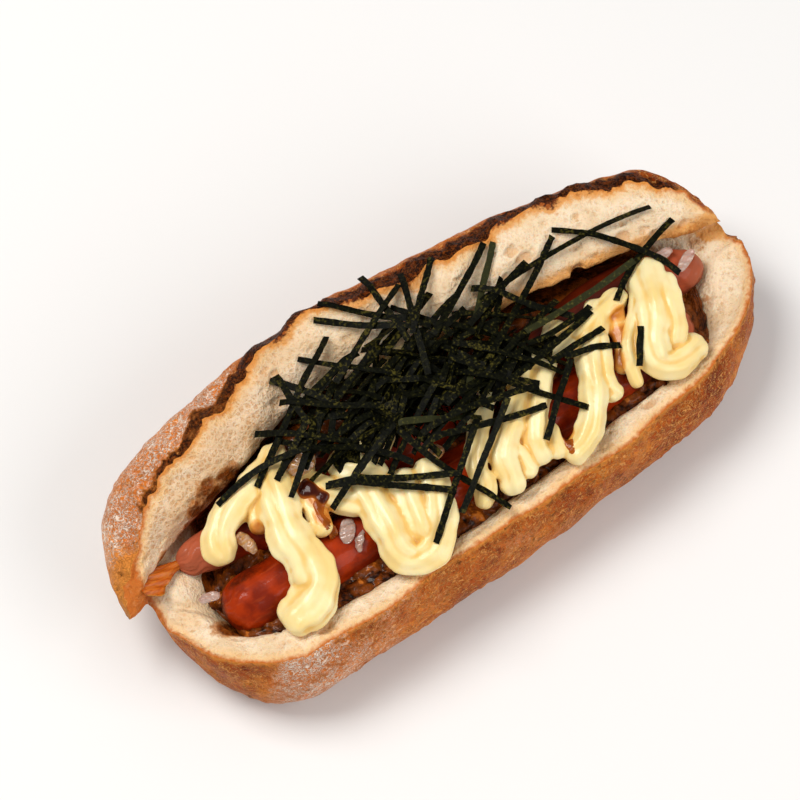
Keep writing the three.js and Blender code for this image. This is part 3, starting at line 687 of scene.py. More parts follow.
def onion_finish(name, colour, stain):
    """Moist translucent onion with fine lengthwise veins."""
    finish = Finish(
        name,
        Roughness=0.22,
        Specular_IOR_Level=0.5,
        Coat_Weight=0.5,
        Coat_Roughness=0.08,
        Subsurface_Weight=0.5,
        Subsurface_Radius=(1.0, 0.8, 0.7),
        Subsurface_Scale=0.002,
        Transmission_Weight=0.5,
    )
    veins = finish.spots(0.8, detail=1, stretch=(0.3, 1, 1))
    patches = finish.spots(2.5, detail=2)
    tint = finish.blend(finish.band(veins, 0.4, 0.6, 0.0, 0.4), colour, paint(238, 226, 220))
    tint = finish.blend(finish.band(patches, 0.5, 0.75, 0.0, 0.7), tint, stain)
    finish.set("Base Color", tint)
    finish.bump((veins, 0.05), (patches, 0.15))
    return finish.material


def nori_finish(settings):
    """Dried seaweed: green-black with paler flecks, partly thin spots and partly painted highlights,
    a dull sheen, and a few whole shreds painted paler as painted sheen.
    """
    finish = Finish(
        "nori",
        Roughness=0.45,
        Specular_IOR_Level=0.05,
    )
    mottle = finish.spots(1.1, detail=3, roughness=0.6)
    patches = finish.spots(7, detail=1)
    # Paler flecks: thin spots in the sheet, and painted highlights
    thin = finish.band(finish.sum(mottle, finish.times(patches, 0.3)), 0.7, 0.86)
    colour = finish.blend(finish.band(mottle, 0.4, 0.62), settings.nori_dark, settings.nori)
    colour = finish.blend(thin, colour, paint(70, 64, 22))
    # pale: painted sheen on the few shreds that catch the light
    colour = finish.blend(finish.value("pale"), colour, paint(120, 122, 76))
    finish.set("Base Color", colour)
    finish.bump((mottle, 0.25), (finish.spots(0.35, detail=1), 0.08))
    return finish.material


def plain_finish(name, colour, roughness):
    """One quiet colour, for the floor."""
    return Finish(name, **{"Base Color": colour, "Roughness": roughness}).material


# Outline of the roll along X

middle_y = curve((-118, -3), (0, 1), (118, 6))
belly_y = curve(
    (-118, -49), (-80, -49.5), (-45, -48), (0, -46), (33, -42.5), (64, -39), (90, -36.5), (118, -30),
)
rim_y = curve(
    (-118, -43.5), (-80, -45), (-56, -45.5), (-28, -42.5), (0, -41.5), (37, -39), (65, -34.5),
    (118, -26),
)
back_y = curve((-118, 55), (-95, 47), (-77, 44.5), (-50, 47.5), (-8, 51), (41, 49), (85, 43), (118, 38))
ridge_y = curve(
    (-118, 9), (-108, 17.5), (-92, 25.5), (-64, 31.5), (-46, 40), (-20, 44.5),
    (12, 38.5), (60, 40), (80, 37), (100, 29), (115, 22),
)
ridge_z = curve((-118, 53), (-60, 57), (-20, 60), (25, 59), (60, 56.5), (115, 51))

# Outline of the slit along X

crumb_edge_y = curve(
    (-118, -22), (-101, -24), (-82, -33), (-60, -37), (-17, -37), (20, -33), (60, -28), (90, -23), (118, -10),
)
trough_front_y = curve(
    (-118, -14), (-110, -12), (-104, -9), (-95, -16), (-86, -27), (-60, -31),
    (20, -29), (60, -25), (80, -20), (91, -12), (98, -3), (106, 2.5), (118, 4),
)
trough_back_y = curve(
    (-118, -7), (-110, -5), (-104, -3), (-97, -8), (-90, -5), (-83, 4), (-70, 14), (-50, 21),
    (10, 22), (60, 20), (92, 15), (106, 10), (118, 9),
)
trough_z = curve(
    (-118, 24), (-110, 26), (-105, 31), (-98, 31), (-92, 28), (-87, 24.5), (-81, 22.5),
    (0, 22), (85, 22.5), (95, 27), (105, 31), (118, 31),
)
pocket_y = curve(
    (-118, -3), (-110, -1), (-104, 6.5), (-88, 13), (-70, 17), (-50, 27),
    (10, 30), (60, 27), (92, 20), (106, 16), (118, 15),
)
lip_y = curve(
    (-118, -4), (-110, -1.5), (-104, 5), (-96, 9), (-88, 11.5), (-72, 15), (-52, 21.5), (-30, 26),
    (10, 21.3), (45, 18.8), (75, 16), (98, 12.6), (118, 11),
)
lip_z = curve((-118, 33), (-104, 35), (-88, 38), (-72, 42), (-50, 45), (80, 45), (100, 41), (118, 36))


def end_round(x, left_tip, left_length, right_tip, right_length):
    """1 along the roll's body, falling as a quarter ellipse to 0 at each tip."""
    left = np.clip((x - left_tip) / left_length, 0, 1)
    right = np.clip((right_tip - x) / right_length, 0, 1)
    return np.sqrt(left * (2 - left)) * np.sqrt(right * (2 - right))


def base_share(x):
    """The share of its full size that the base keeps at x."""
    tip = ROLL_LEFT + TIP_STAGGER["left"]
    return end_round(x, tip, END_ROUND["base_left"], ROLL_RIGHT, END_ROUND["base_right"])


def lid_share(x):
    """The share of its full size that the lid keeps at x."""
    tip = ROLL_RIGHT - TIP_STAGGER["right"]
    return end_round(x, ROLL_LEFT, END_ROUND["lid_left"], tip, END_ROUND["lid_right"])


def section_rings(x, knots, spans):
    """Rings across X, each a closed spline through its knots (y, z) with spans[k] points from knot
    k to the next. Also returns each point's place, counted in knots."""
    steps = [k + np.arange(count) / count for k, count in enumerate(spans)]
    places = np.concatenate(steps) / len(spans)
    section = spline(knots, places, closed=True)
    stations = np.broadcast_to(x[:, None, None], section.shape[:2] + (1,))
    return np.concatenate([stations, section], axis=-1), places * len(spans)


def unevenness(a, b):
    """Slow waves over two coordinates, from about -1 to 1."""
    long = np.sin(a * 0.21 + b * 0.13) + np.sin(a * 0.13 - b * 0.29 + 1.3)
    short = np.sin(a * 0.47 + 2.1) * np.cos(b * 0.41 + 0.4)
    return (long + short) / 3


def grid_normals(points):
    """Unit normals of a grid of closed rings (rings, sides, 3): the cross product of the slopes
    round the rings and along them."""
    along = np.gradient(points, axis=0)
    around = np.roll(points, -1, axis=1) - np.roll(points, 1, axis=1)
    normal = np.cross(around, along)
    return normal / np.maximum(np.linalg.norm(normal, axis=-1, keepdims=True), 1e-9)


def loaf_rings(stations=250, sides=200):
    """The whole loaf's outside. Each section is a closed spline round the base, belly, ridge and
    back, drawn in at both ends by end_round, and pushed out along its normal by the crust's
    dimples, wrinkles and burnt crags."""
    share = np.linspace(0, 1, stations)
    share = np.clip(mix((1 - np.cos(np.pi * share)) / 2, share, 0.35), 0.0002, 0.9998)
    along = mix(ROLL_LEFT, ROLL_RIGHT, share)
    back, belly, rim, ridge, top = (line(along) for line in (back_y, belly_y, rim_y, ridge_y, ridge_z))
    flat = np.zeros_like(along)
    knots = np.stack([
        np.stack([back - 20, flat], axis=-1),
        np.stack([belly + 17, flat], axis=-1),
        np.stack([belly + 4, flat + 6], axis=-1),
        np.stack([belly, flat + 20], axis=-1),
        np.stack([rim, flat + RIM_HEIGHT], axis=-1),
        np.stack([rim + 12, flat + RIM_HEIGHT + 12], axis=-1),
        np.stack([ridge - 20, top + 6], axis=-1),
        np.stack([ridge, top], axis=-1),
        np.stack([mix(ridge, back, 0.72), mix(top, 42, 0.35)], axis=-1),
        np.stack([back, flat + 38], axis=-1),
        np.stack([back - 5, flat + 14], axis=-1),
    ], axis=1)
    turn = even_places(knots[stations // 2], sides, closed=True)
    outline = spline(knots, turn, closed=True)
    y, z = outline[..., 0], np.maximum(outline[..., 1], 0)
    lid = smooth(turn, 0.36, 0.52) * (1 - smooth(turn, 0.82, 0.96))
    left_tip = ROLL_LEFT + TIP_STAGGER["left"] * (1 - lid)
    right_tip = ROLL_RIGHT - TIP_STAGGER["right"] * lid
    x = mix(left_tip[None, :], right_tip[None, :], share[:, None])
    left_length = mix(END_ROUND["base_left"], END_ROUND["lid_left"], lid)
    right_length = mix(END_ROUND["base_right"], END_ROUND["lid_right"], lid)
    drawn = end_round(x, left_tip, left_length, right_tip, right_length)
    middle = middle_y(x)
    rings = np.stack([x, middle + drawn * (y - middle), SLIT_HEIGHT + drawn * (z - SLIT_HEIGHT)], axis=-1)
    near_ridge = smooth(turn, 0.55, 0.61) * (1 - smooth(turn, 0.67, 0.75))
    off_base = smooth(rings[..., 2], 1.5, 9)
    crags = near_ridge * 0.9 * (np.sin(x * 0.43) + np.sin(x * 0.27 + 1)) * 0.5
    flaky = 1 - np.abs(rough(rings, 5.5, 2, 11))
    torn = near_ridge * (1.5 * flaky ** 2 - 0.8 + 0.2 * noise(rings, 2.4, 12))
    skin = 0.4 * rough(rings, 11, 3, 21) + 0.2 * noise(rings, 3.2, 23)
    blisters = 0.35 * smooth(0.32 - cell_field(rings, 5.5, 31)[0], 0, 0.2)
    relief = off_base * (0.6 * unevenness(x, turn[None, :] * 112) + crags + torn + skin + blisters)
    rings = rings + grid_normals(rings) * outward(rings) * relief[..., None]
    rings[..., 2] = np.maximum(rings[..., 2], 0)
    return rings, np.broadcast_to(near_ridge, x.shape)


def outward(rings):
    """1 or -1: the sign that turns a tube's grid normals away from its middle."""
    spokes = rings - rings.mean(axis=1, keepdims=True)
    return np.sign(np.sum(grid_normals(rings) * spokes))


# The least share of its full size that the slit keeps at the roll's tips
SHALLOWEST = 0.35
# How high and how far forward the slit's section goes, past the loaf
ABOVE_ROLL = 130
BEFORE_ROLL = -110
# Rows of points from each knot of the slit's section to the next
SLIT_SPANS = (6, 6, 6, 12, 8, 6, 6, 8, 7, 6, 6, 16, 16, 12, 8, 2, 2, 2, 2, 5)


def slit_rings(stations=300):
    """The slit's outside. Each section is a closed spline over the front rim, down through the
    trough, up round the lid's lip, over the lid's cut face and out past the ridge. It is pushed
    into the bread by pores and by the tear's unevenness."""
    x = np.linspace(ROLL_LEFT - 8, ROLL_RIGHT + 8, stations)
    wave = lambda phase, step: 0.5 * np.sin(x * step + phase)
    high = np.maximum(SHALLOWEST, lid_share(x))
    wide = np.maximum(SHALLOWEST, base_share(x))
    middle = middle_y(x)
    ridge = np.stack([mix(middle, ridge_y(x), high), mix(SLIT_HEIGHT, ridge_z(x), high)], axis=-1)
    rim_top = mix(SLIT_HEIGHT, RIM_HEIGHT, wide)
    rim = np.stack([mix(middle, rim_y(x), wide), rim_top], axis=-1)
    edge = np.stack([np.maximum(crumb_edge_y(x), rim[:, 0] + 4), rim_top - 2 + wave(0, 0.3)], axis=-1)
    front, back, floor, pocket = (line(x) for line in (trough_front_y, trough_back_y, trough_z, pocket_y))
    lip = np.stack([lip_y(x), lip_z(x)], axis=-1)
    column = lambda y, z: np.stack([y + 0 * x, z + 0 * x], axis=-1)
    face = lambda t, swell: mix(lip, ridge, t) + np.stack([-swell * 0.5 + 0 * x, swell + 0 * x], axis=-1)
    knots = np.stack([
        rim,
        mix(rim, edge, 0.33) + [0, 0.7],
        mix(rim, edge, 0.7) + [0, 0.5],
        edge,
        column(mix(edge[:, 0], front, 0.6), mix(edge[:, 1], floor, 0.45)),
        column(front, floor + 2),
        column(mix(front, back, 0.5), floor),
        column(back, floor + 1.5),
        column(pocket, mix(floor, lip[:, 1], 0.45)),
        column(mix(pocket, lip[:, 0], 0.5), mix(floor, lip[:, 1], 0.86)),
        lip,
        face(0.1, 1.4),
        face(0.4, 2 + wave(1, 0.35)),
        face(0.72, 1.2 + wave(2, 0.27)),
        ridge,
        ridge + [30, 25],
        column(ridge[:, 0] + 30, ABOVE_ROLL),
        column(BEFORE_ROLL, ABOVE_ROLL),
        column(BEFORE_ROLL, rim_top + 2),
        rim + [-12, 0.6],
    ], axis=1)
    rings, place = section_rings(x, knots, SLIT_SPANS)
    cut = smooth(place, 0.15, 0.8) * (1 - smooth(place, 13.2, 13.9))
    open_face = smooth(place, 0.3, 1.2) * (1 - smooth(place, 13.0, 13.8))
    hidden = smooth(place, 4.3, 5) * (1 - smooth(place, 7.6, 8.6))
    large = smooth(rings[..., 0], 10, 60) * 0.5 + 0.7
    pores = pore_depth(rings, 7.5, 3, 41) * 0.65 * large + pore_depth(rings, 3.6, 1.6, 43) * 0.6
    pores = pores * open_face * (1 - hidden)
    near_lip = smooth(place, 8.6, 10) * (1 - smooth(place, 10.6, 11.6))
    torn = cut * (0.4 * rough(rings, 9, 2, 51) + 0.1 * noise(rings, 1.9, 53))
    torn = torn + near_lip * 0.9 * rough(rings, 7, 3, 57)
    normals = grid_normals(rings) * outward(rings)
    rings = rings + normals * (pores + torn)[..., None]
    return rings, pores


def edge_distance(piece, points):
    """Distance from each point to the line where crust meets crumb, in millimetres."""
    mesh = piece.data
    crumb = np.empty(len(mesh.polygons), dtype=np.int32)
    mesh.polygons.foreach_get("material_index", crumb)
    sizes = np.empty(len(mesh.polygons), dtype=np.int32)
    mesh.polygons.foreach_get("loop_total", sizes)
    corners = np.empty(len(mesh.loops), dtype=np.int32)
    mesh.loops.foreach_get("vertex_index", corners)
    side = np.repeat(crumb, sizes)
    on_crust = np.zeros(len(points), bool)
    on_crumb = np.zeros(len(points), bool)
    on_crust[corners[side == 0]] = True
    on_crumb[corners[side == 1]] = True
    border = points[on_crust & on_crumb]
    nearest = np.full(len(points), np.inf)
    for start in range(0, len(points), 2000):
        block = points[start:start + 2000]
        squares = np.sum(block ** 2, axis=1)[:, None] + np.sum(border ** 2, axis=1) - 2 * block @ border.T
        nearest[start:start + 2000] = np.sqrt(np.maximum(squares.min(axis=1), 0))
    return nearest


def blobs(points, places):
    """The strongest of several soft round stains (x, y, z, radius) at each point, 0 to 1."""
    strength = np.zeros(len(points))
    for x, y, z, radius in places:
        away = np.linalg.norm(points - [x, y, z], axis=1)
        strength = np.maximum(strength, 1 - smooth(away, radius * 0.45, radius))
    return strength


# Stains in the crumb, each (x, y, z, radius), and how strong they are
LID_STAIN_STRENGTH = 0.62
LID_STAINS = (
    (-76, 17, 44, 6), (-68, 19, 44, 6.5), (-82, 14, 42, 4.5), (-86, 10, 39, 3.5), (-98, 8, 36, 4),
)
END_STAIN_STRENGTH = 0.5
END_STAINS = ((104, 9, 38, 8), (97, 14, 38, 8), (94, -6, 34, 6))


def build_bun(settings):
    """The bread: a whole loaf with the slit cut out of it, so that crust and crumb meet in an edge."""
    materials = [crust_finish(settings), crumb_finish(settings)]
    loaf_points, near_ridge = loaf_rings()
    slit_points, pores = slit_rings()
    skins = []
    for name, (rings, key, numbers), slot in (
        ("bread", (loaf_points, "ridge", near_ridge), 0),
        ("slit", (slit_points, "pore", pores), 1),
    ):
        points, faces = capped(rings)
        slots = [np.full(len(group), slot, dtype=np.int32) for group in faces]
        values = {key: np.concatenate([numbers.ravel(), [0, 0]])}
        skins.append(add_mesh(name, points, faces, materials, values, slots))
    bread, slit = skins
    apply_modifier(bread, "BOOLEAN", object=slit, operation="DIFFERENCE", solver="MANIFOLD")
    bpy.data.objects.remove(slit)
    keep_largest_body(bread)
    points = points_of(bread)
    x, y, z = points.T
    edge = edge_distance(bread, points)
    patchy = noise(points, 14, 63)
    high = smooth(z, 46, 54) * smooth(y, 8, 16)
    left_lid = smooth(-x, 25, 60) * smooth(y, 4, 18)
    low_front = smooth(-y, 36, 46) * mix(0.35, 0.9, smooth(-x, 20, 75))
    back_lid = smooth(y, 36, 46) * 0.6
    flour = np.maximum.reduce([0.85 * left_lid, low_front, back_lid]) + 0.3 * rough(points, 20, 2, 61)
    reach = mix(3.5, 8, smooth(x, -90, -45)) * (1 + 0.4 * patchy)
    burnt = high * (1 - smooth(edge, reach * 0.3, reach)) * (0.95 + 0.45 * noise(points, 8, 67))
    burnt *= mix(0.8, 1, smooth(x, -70, -30))
    lip_high = np.abs(z - lip_z(x)) < 6
    golden = smooth(x, -10, 25) * (1 - smooth(np.abs(y - lip_y(x) + 0.5), 0.5, 5)) * lip_high
    edge *= 1 - smooth(-x, 104, 109) * smooth(y, -11, -8)
    low_front_crumb = smooth(y - crumb_edge_y(x), 0.5, 3.5) * (1 - smooth(z, 36, 39.5))
    bare_shelf = smooth(-x, 80, 88) * smooth(y, -22, -15)
    front_soak = low_front_crumb * smooth(x, -100, -92) * (1 - smooth(x, 76, 90)) * (1 - bare_shelf)
    # The pocket under the lip: browned partly by sauce and partly as painted shade under the lid
    under_lip = 1 - smooth(z - lip_z(x), -4, -1)
    inside = 0.8 * smooth(y - lip_y(x), -6, 0) * under_lip * smooth(x, -88, -70) * (1 - smooth(x, 88, 96))
    lid_stains = LID_STAIN_STRENGTH * blobs(points, LID_STAINS)
    end_stains = END_STAIN_STRENGTH * blobs(points, END_STAINS)
    soaked = np.maximum.reduce([lid_stains, end_stains, front_soak, inside])
    # Painted shade on the lid's left face, behind the lip's line
    shaded = smooth(y - lip_y(x), -2, 3) * (1 - smooth(x, -60, -10))
    kept = {
        "edge": edge, "flour": flour, "burnt": burnt, "golden": golden, "soaked": soaked, "shaded": shaded,
    }
    for key, numbers in kept.items():
        keep_values(bread.data, key, numbers)
    finish_piece(bread, "bread", "bun")
    return bread


# Bodies carried along a path

def spine_frames(path, stations, gather=0.45):
    """Centres, tangents, sides and ups of sections along a spline, closer together at its ends."""
    knots = np.array(path, float)
    share = np.linspace(0, 1, stations)
    share = mix(share, (1 - np.cos(np.pi * share)) / 2, gather)
    trial = np.linspace(0, 1, 800)
    line = spline(knots, trial)
    length = np.concatenate([[0], np.cumsum(np.linalg.norm(np.diff(line, axis=0), axis=1))])
    places = np.interp(share * length[-1], length, trial)
    centres = spline(knots, places)
    tangents = np.gradient(centres, axis=0)
    tangents /= np.linalg.norm(tangents, axis=1, keepdims=True)
    sides = np.cross(tangents, [0, 0, 1])
    sides /= np.linalg.norm(sides, axis=1, keepdims=True)
    return centres, sides, np.cross(sides, tangents), share * length[-1], length[-1]


def swept(path, stations, sides, size, shape):
    """Rings round a path. size(distance, length) gives half width and half height, and
    shape(angle, distance) scales the radius."""
    centres, across, over, distance, length = spine_frames(path, stations)
    angle = np.linspace(0, 2 * np.pi, sides, endpoint=False)
    half_width, half_height = size(distance, length)
    scale = shape(angle[None, :], distance[:, None])
    rings = centres[:, None, :]
    rings = rings + across[:, None, :] * (np.cos(angle) * half_width[:, None] * scale)[..., None]
    return rings + over[:, None, :] * (np.sin(angle) * half_height[:, None] * scale)[..., None]


def blunt_end(distance, length, tip, taper=0.55):
    """A round end: from a share tip of full size to all of it over the given length. A taper of
    0.5 gives half a circle, and more gives a slimmer end."""
    t = np.clip(distance / length, 0, 1)
    return mix(tip, 1, (1 - (1 - t) ** 2) ** taper)


FRONT_SAUSAGE = (
    (-91, -17, 32.5), (-82, -18.5, 33.5), (-55, -19.4, 34), (0, -18.3, 34),
    (45, -15.6, 34), (72, -13, 33.5), (87, -9, 32.5),
)
BACK_SAUSAGE = (
    (-95, 4.2, 33), (-84, 3.2, 33.7), (-68, 1.8, 34), (-50, 1.4, 34), (0, 2.2, 34),
    (45, 5.2, 34), (75, 7.6, 34), (102, 3.5, 33.5),
)
CASING_TAIL = ((-91, 4, 33), (-97, 4, 34.2), (-103, 2.6, 36.4), (-109.5, 0.8, 39.4))
SAUSAGE_TIP = 11
# The back sausage's share of its full thickness near its knot and near its other end
KNOT_SLIMNESS = 0.64
END_SLIMNESS = 0.802
# How the casing gathers at the left tip, (length, taper, depth of its pleats)
SMOOTH_TIP = (SAUSAGE_TIP, 0.55, 0.09)
KNOTTED_TIP = (11, 0.6, 0.16)


def build_sausage(name, node, path, radius, left_tip, material):
    """A sausage: round sections along its path, rounded ends, and pleats that gather at its left
    tip, deepest where the casing is drawn tightest. The knotted one slims towards both ends."""
    length = np.linalg.norm(np.diff(np.array(path, float), axis=0), axis=1).sum()
    knotted = node == "sausage_back"
    tip_length, taper, pucker = left_tip

    def size(distance, whole):
        rest = whole - distance
        left = blunt_end(distance, tip_length, 0.1, taper)
        right = blunt_end(rest, SAUSAGE_TIP, 0.08)
        if knotted:
            left = left * mix(KNOT_SLIMNESS, 1, smooth(distance, 5, 36))
            right = right * mix(END_SLIMNESS, 1, smooth(rest, 4, 30))
        return radius * left * right, radius * left * right

    def shape(angle, distance):
        turned = angle + 0.04 * distance + 0.35 * np.sin(distance * 0.6)
        near_tip = (1 - smooth(distance, 0.5, tip_length * 1.2)) ** 1.5
        folds = 0.55 * np.sin(turned * 5 + 0.4) + 0.6 * np.abs(np.sin(turned * 6.5 + 1.5))
        folds = folds + 0.3 * np.sin(turned * 17)
        far_tip = 1 - smooth(length - distance, 1, SAUSAGE_TIP * 1.4)
        far_folds = np.sin(turned * 7) + np.sin(turned * 3 + 1)
        waves = 0.014 * np.sin(distance * 0.23 + angle) + 0.008 * np.sin(distance * 0.61 - angle * 2)
        return 1 + waves + pucker * folds * near_tip + 0.045 * far_folds * far_tip

    rings = swept(path, 200, 128, size, shape)
    points, faces = capped(rings)
    x = points[:, 0]
    start, end = path[0][0], path[-1][0]
    pale = 0.85 * (1 - smooth(x - start, 6, 20)) * knotted + 0.8 * (1 - smooth(end - x, 4, 20))
    # Random stains, and darker towards the bottom
    stained = 0.5 * smooth(rough(points, 12, 2, 71), 0.1, 0.8) + 0.5 * (1 - smooth(points[:, 2], 33, 38))
    if knotted:
        # Painted shade and sauce on the back sausage under the lid
        lid_shade_and_sauce = 0.95 * smooth(points[:, 1], 2, 8) * (1 - smooth(x, 78, 92))
        stained = np.maximum(stained, lid_shade_and_sauce) * smooth(x - start, 12, 26)
    piece = add_mesh(name, points, faces, [material], {"pale": pale, "stained": stained})
    finish_piece(piece, "sausage", node)
    return piece


def build_casing_tail(material):
    """The casing's twisted end: a flat pleated fan that widens from the knot, with a ragged end."""
    def size(distance, whole):
        share = distance / whole
        spread = mix(1.3, 5.2, smooth(share, 0.1, 0.9))
        return spread * blunt_end(whole - distance, 4, 0.25), mix(1.8, 0.35, smooth(share, 0, 0.75))

    def shape(angle, distance):
        ragged = 0.14 * np.sin(distance * 0.9 + angle * 2) * smooth(distance, 6, 16)
        return 1 + 0.06 * np.cos(angle * 9) + 0.025 * np.cos(angle * 21) + ragged

    points, faces = capped(swept(CASING_TAIL, 60, 96, size, shape))
    points[:, 2] += 0.35 * np.sin(points[:, 1] * 2.3 + points[:, 0] * 0.5) * smooth(-points[:, 0], 94, 102)
    piece = add_mesh("casing_tail", points, faces, [material])
    finish_piece(piece, "sausage", "sausage_back")
    return piece


# Mayonnaise: each strand is (path, half width at its start, half width at its end, half height)

MAYONNAISE = {
    "mayonnaise_left": (
        (((-54, 13, 47), (-64.5, 8.5, 47.5), (-71, 6.5, 47), (-78.5, 3, 46), (-82.5, -1.5, 44),
          (-83.5, -7, 42)), 5, 5.2, 4.4),
        (((-51, 17, 46.5), (-56, 9.5, 48), (-60, 0, 48.5), (-63.5, -12, 48), (-62.5, -21.5, 46),
          (-63.5, -28.5, 44), (-69.5, -32.5, 42.5), (-79, -33, 41.5)), 5, 8.2, 4.8),
        (((-47, 8.5, 47.5), (-50, 1.5, 47.5), (-51.5, -6, 47), (-53, -13, 46.5),
          (-54.5, -16.5, 45.5)), 4.6, 3.2, 4),
        (((-54, 6, 46.5), (-47, -4.5, 47), (-40.5, -11, 47), (-32.5, -15, 47)), 5, 5.4, 4.6),
        (((-38.5, 4.5, 47), (-35.5, -2, 48), (-31, -8, 48), (-27.5, -11.5, 47)), 5.6, 5, 4.6),
        (((-36, -4.5, 47), (-36, -15, 47.5), (-36, -25.5, 46.5), (-36.5, -33.5, 44.5), (-34, -37, 43),
          (-28.5, -38, 43.5), (-22.5, -34, 45.5), (-19, -27, 47), (-17, -20.5, 47.5),
          (-15, -12, 48)), 5.6, 5, 4.8),
        (((-24, -10.5, 47.2), (-25.5, -21, 47), (-27, -29, 46), (-29, -34.5, 44)), 6, 5.6, 4.4),
        (((3, 24, 46), (-10, 16, 47.5), (-20, 5, 48.5), (-28, -4, 48.5)), 4.6, 5, 4.2),
        (((-55, 13, 46.5), (-62, 6, 46.8), (-67.5, 0, 45.5), (-69.5, -5, 44)), 4.6, 3, 3.6),
    ),
    "mayonnaise_middle": (
        (((28, 10, 45.5), (15.5, -2.5, 47.5), (4, -14, 48.5), (-2.5, -23.5, 47.5), (-3, -29.5, 45),
          (-7, -34, 42.5)), 3.6, 3.4, 3.8),
        (((36.5, 2, 46.5), (24, -8.5, 48), (14.5, -17, 48.5), (6.5, -25, 47.5), (5.5, -31, 45),
          (4.5, -35.5, 42.5)), 3.6, 4.2, 4.2),
        (((10, -21.5, 47.5), (11.5, -26, 46.5), (12, -31, 44), (13.5, -33, 43)), 2.8, 2.6, 3.2),
        (((47.5, 5.5, 45.5), (39, -1, 47.5), (31, -9, 48.5), (22.5, -19, 48.5), (18, -26, 46.5),
          (17, -32, 43.5)), 3.8, 4, 4.2),
        (((24.5, -22.5, 48), (23.2, -29, 45.5), (22.5, -33, 43.5)), 3, 2.6, 3.4),
        (((62.5, 4.5, 46), (55, -2.5, 47.5), (48, -11.5, 48.5), (42.5, -21.5, 48), (36.5, -29, 46.5),
          (30.5, -33, 44.5), (24, -34.5, 42.8)), 4.8, 4.2, 4.6),
        (((55, -5.5, 48), (50.5, -15, 48.5), (48, -22, 46.5), (49, -26, 44)), 3.2, 3, 3.8),
        (((70, 3.5, 46), (64.5, 1.5, 47.5), (55, -0.5, 48), (46, -2, 47.5)), 3.8, 4, 4),
        (((18, -1.5, 47.6), (28, -2.5, 48), (38, -2, 48), (48, -2, 47.6)), 3.6, 3.6, 3.8),
        (((66, 1, 45.5), (62.5, -5, 46), (60, -12, 44.5), (55, -19, 43)), 3.2, 2.6, 3),
    ),
    "mayonnaise_right": (
        (((74, 0.5, 48), (67, -7, 48.5), (60, -14, 47.5), (57.5, -21.5, 45), (57, -25.5, 42.5)), 2.3, 2.3, 3),
        (((83, 9, 44.5), (77, -1.5, 48.5), (72.5, -10, 49), (67, -17, 47.5), (66, -22, 45), (69, -24.5, 43.5),
          (76.5, -24, 42), (83.5, -21.5, 41)), 7, 4.4, 5.2),
        (((84, 1, 46), (79.5, -7.5, 49), (77, -14.5, 47), (72.5, -20.5, 45)), 5, 4.4, 5),
    ),
}
SAUCE_STAINS = (
    (-50, -6, 50, 5), (-51, -12, 49, 5), (-69.5, -4, 46, 4.5), (28, -28, 46, 4),
    (63.5, -2, 47, 5.5), (61, -9, 46, 6), (57.5, -16, 45, 5.5),
)


def strand_skin(strand, number):
    """A piped strand: blunt ends, soft lengthwise grooves, a flatter underside and a slow swell."""
    path, start_width, end_width, half_height = strand

    def size(distance, whole):
        half_width = mix(start_width, end_width, distance / whole)
        tips = blunt_end(distance, start_width, 0.3) * blunt_end(whole - distance, end_width, 0.3)
        swell = 1 + 0.07 * np.sin(distance * 0.55 + start_width * 3) + 0.03 * np.sin(distance * 1.3 + number)
        return half_width * tips * swell, half_height * tips * (1 + 0.05 * np.sin(distance * 0.4 + number))

    def shape(angle, distance):
        below = np.where(np.sin(angle) < 0, 1 + 0.12 * np.sin(angle), 1)
        turned = angle + 0.25 * np.sin(distance * 0.12 + number)
        grooves = 0.07 * np.cos(turned * 3 - 0.6) + 0.06 * np.cos(turned * 7 + number)
        return below * (1 + grooves)

    return capped(swept(path, 70, 56, size, shape))


def build_mayonnaise(name, node, material):
    """Piped strands run together: one skin laid over all of them by remeshing, then smoothed, so that
    they meet in soft creases."""
    points, faces, _ = joined([strand_skin(strand, k) for k, strand in enumerate(MAYONNAISE[node])])
    piece = add_mesh(name, points, faces, [material])
    apply_modifier(piece, "REMESH", mode="VOXEL", voxel_size=0.55 * MM, use_smooth_shade=True)
    apply_modifier(piece, "SMOOTH", factor=0.5, iterations=3)
    points = points_of(piece)
    # Painted shade: deeper lower down the strands and in the creases that hollows finds
    low = 0.6 * smooth(46 - points[:, 2], 0, 7)
    keep_values(piece.data, "stained", blobs(points, SAUCE_STAINS))
    keep_values(piece.data, "painted_fold_shade", 2.2 * hollows(piece) + low)
    finish_piece(piece, "mayonnaise", node)
    return piece


# Relish, with rows of points from each knot of its section to the next

RELISH_SPANS = (10, 8, 8, 8, 8, 8, 8, 26, 30, 30)


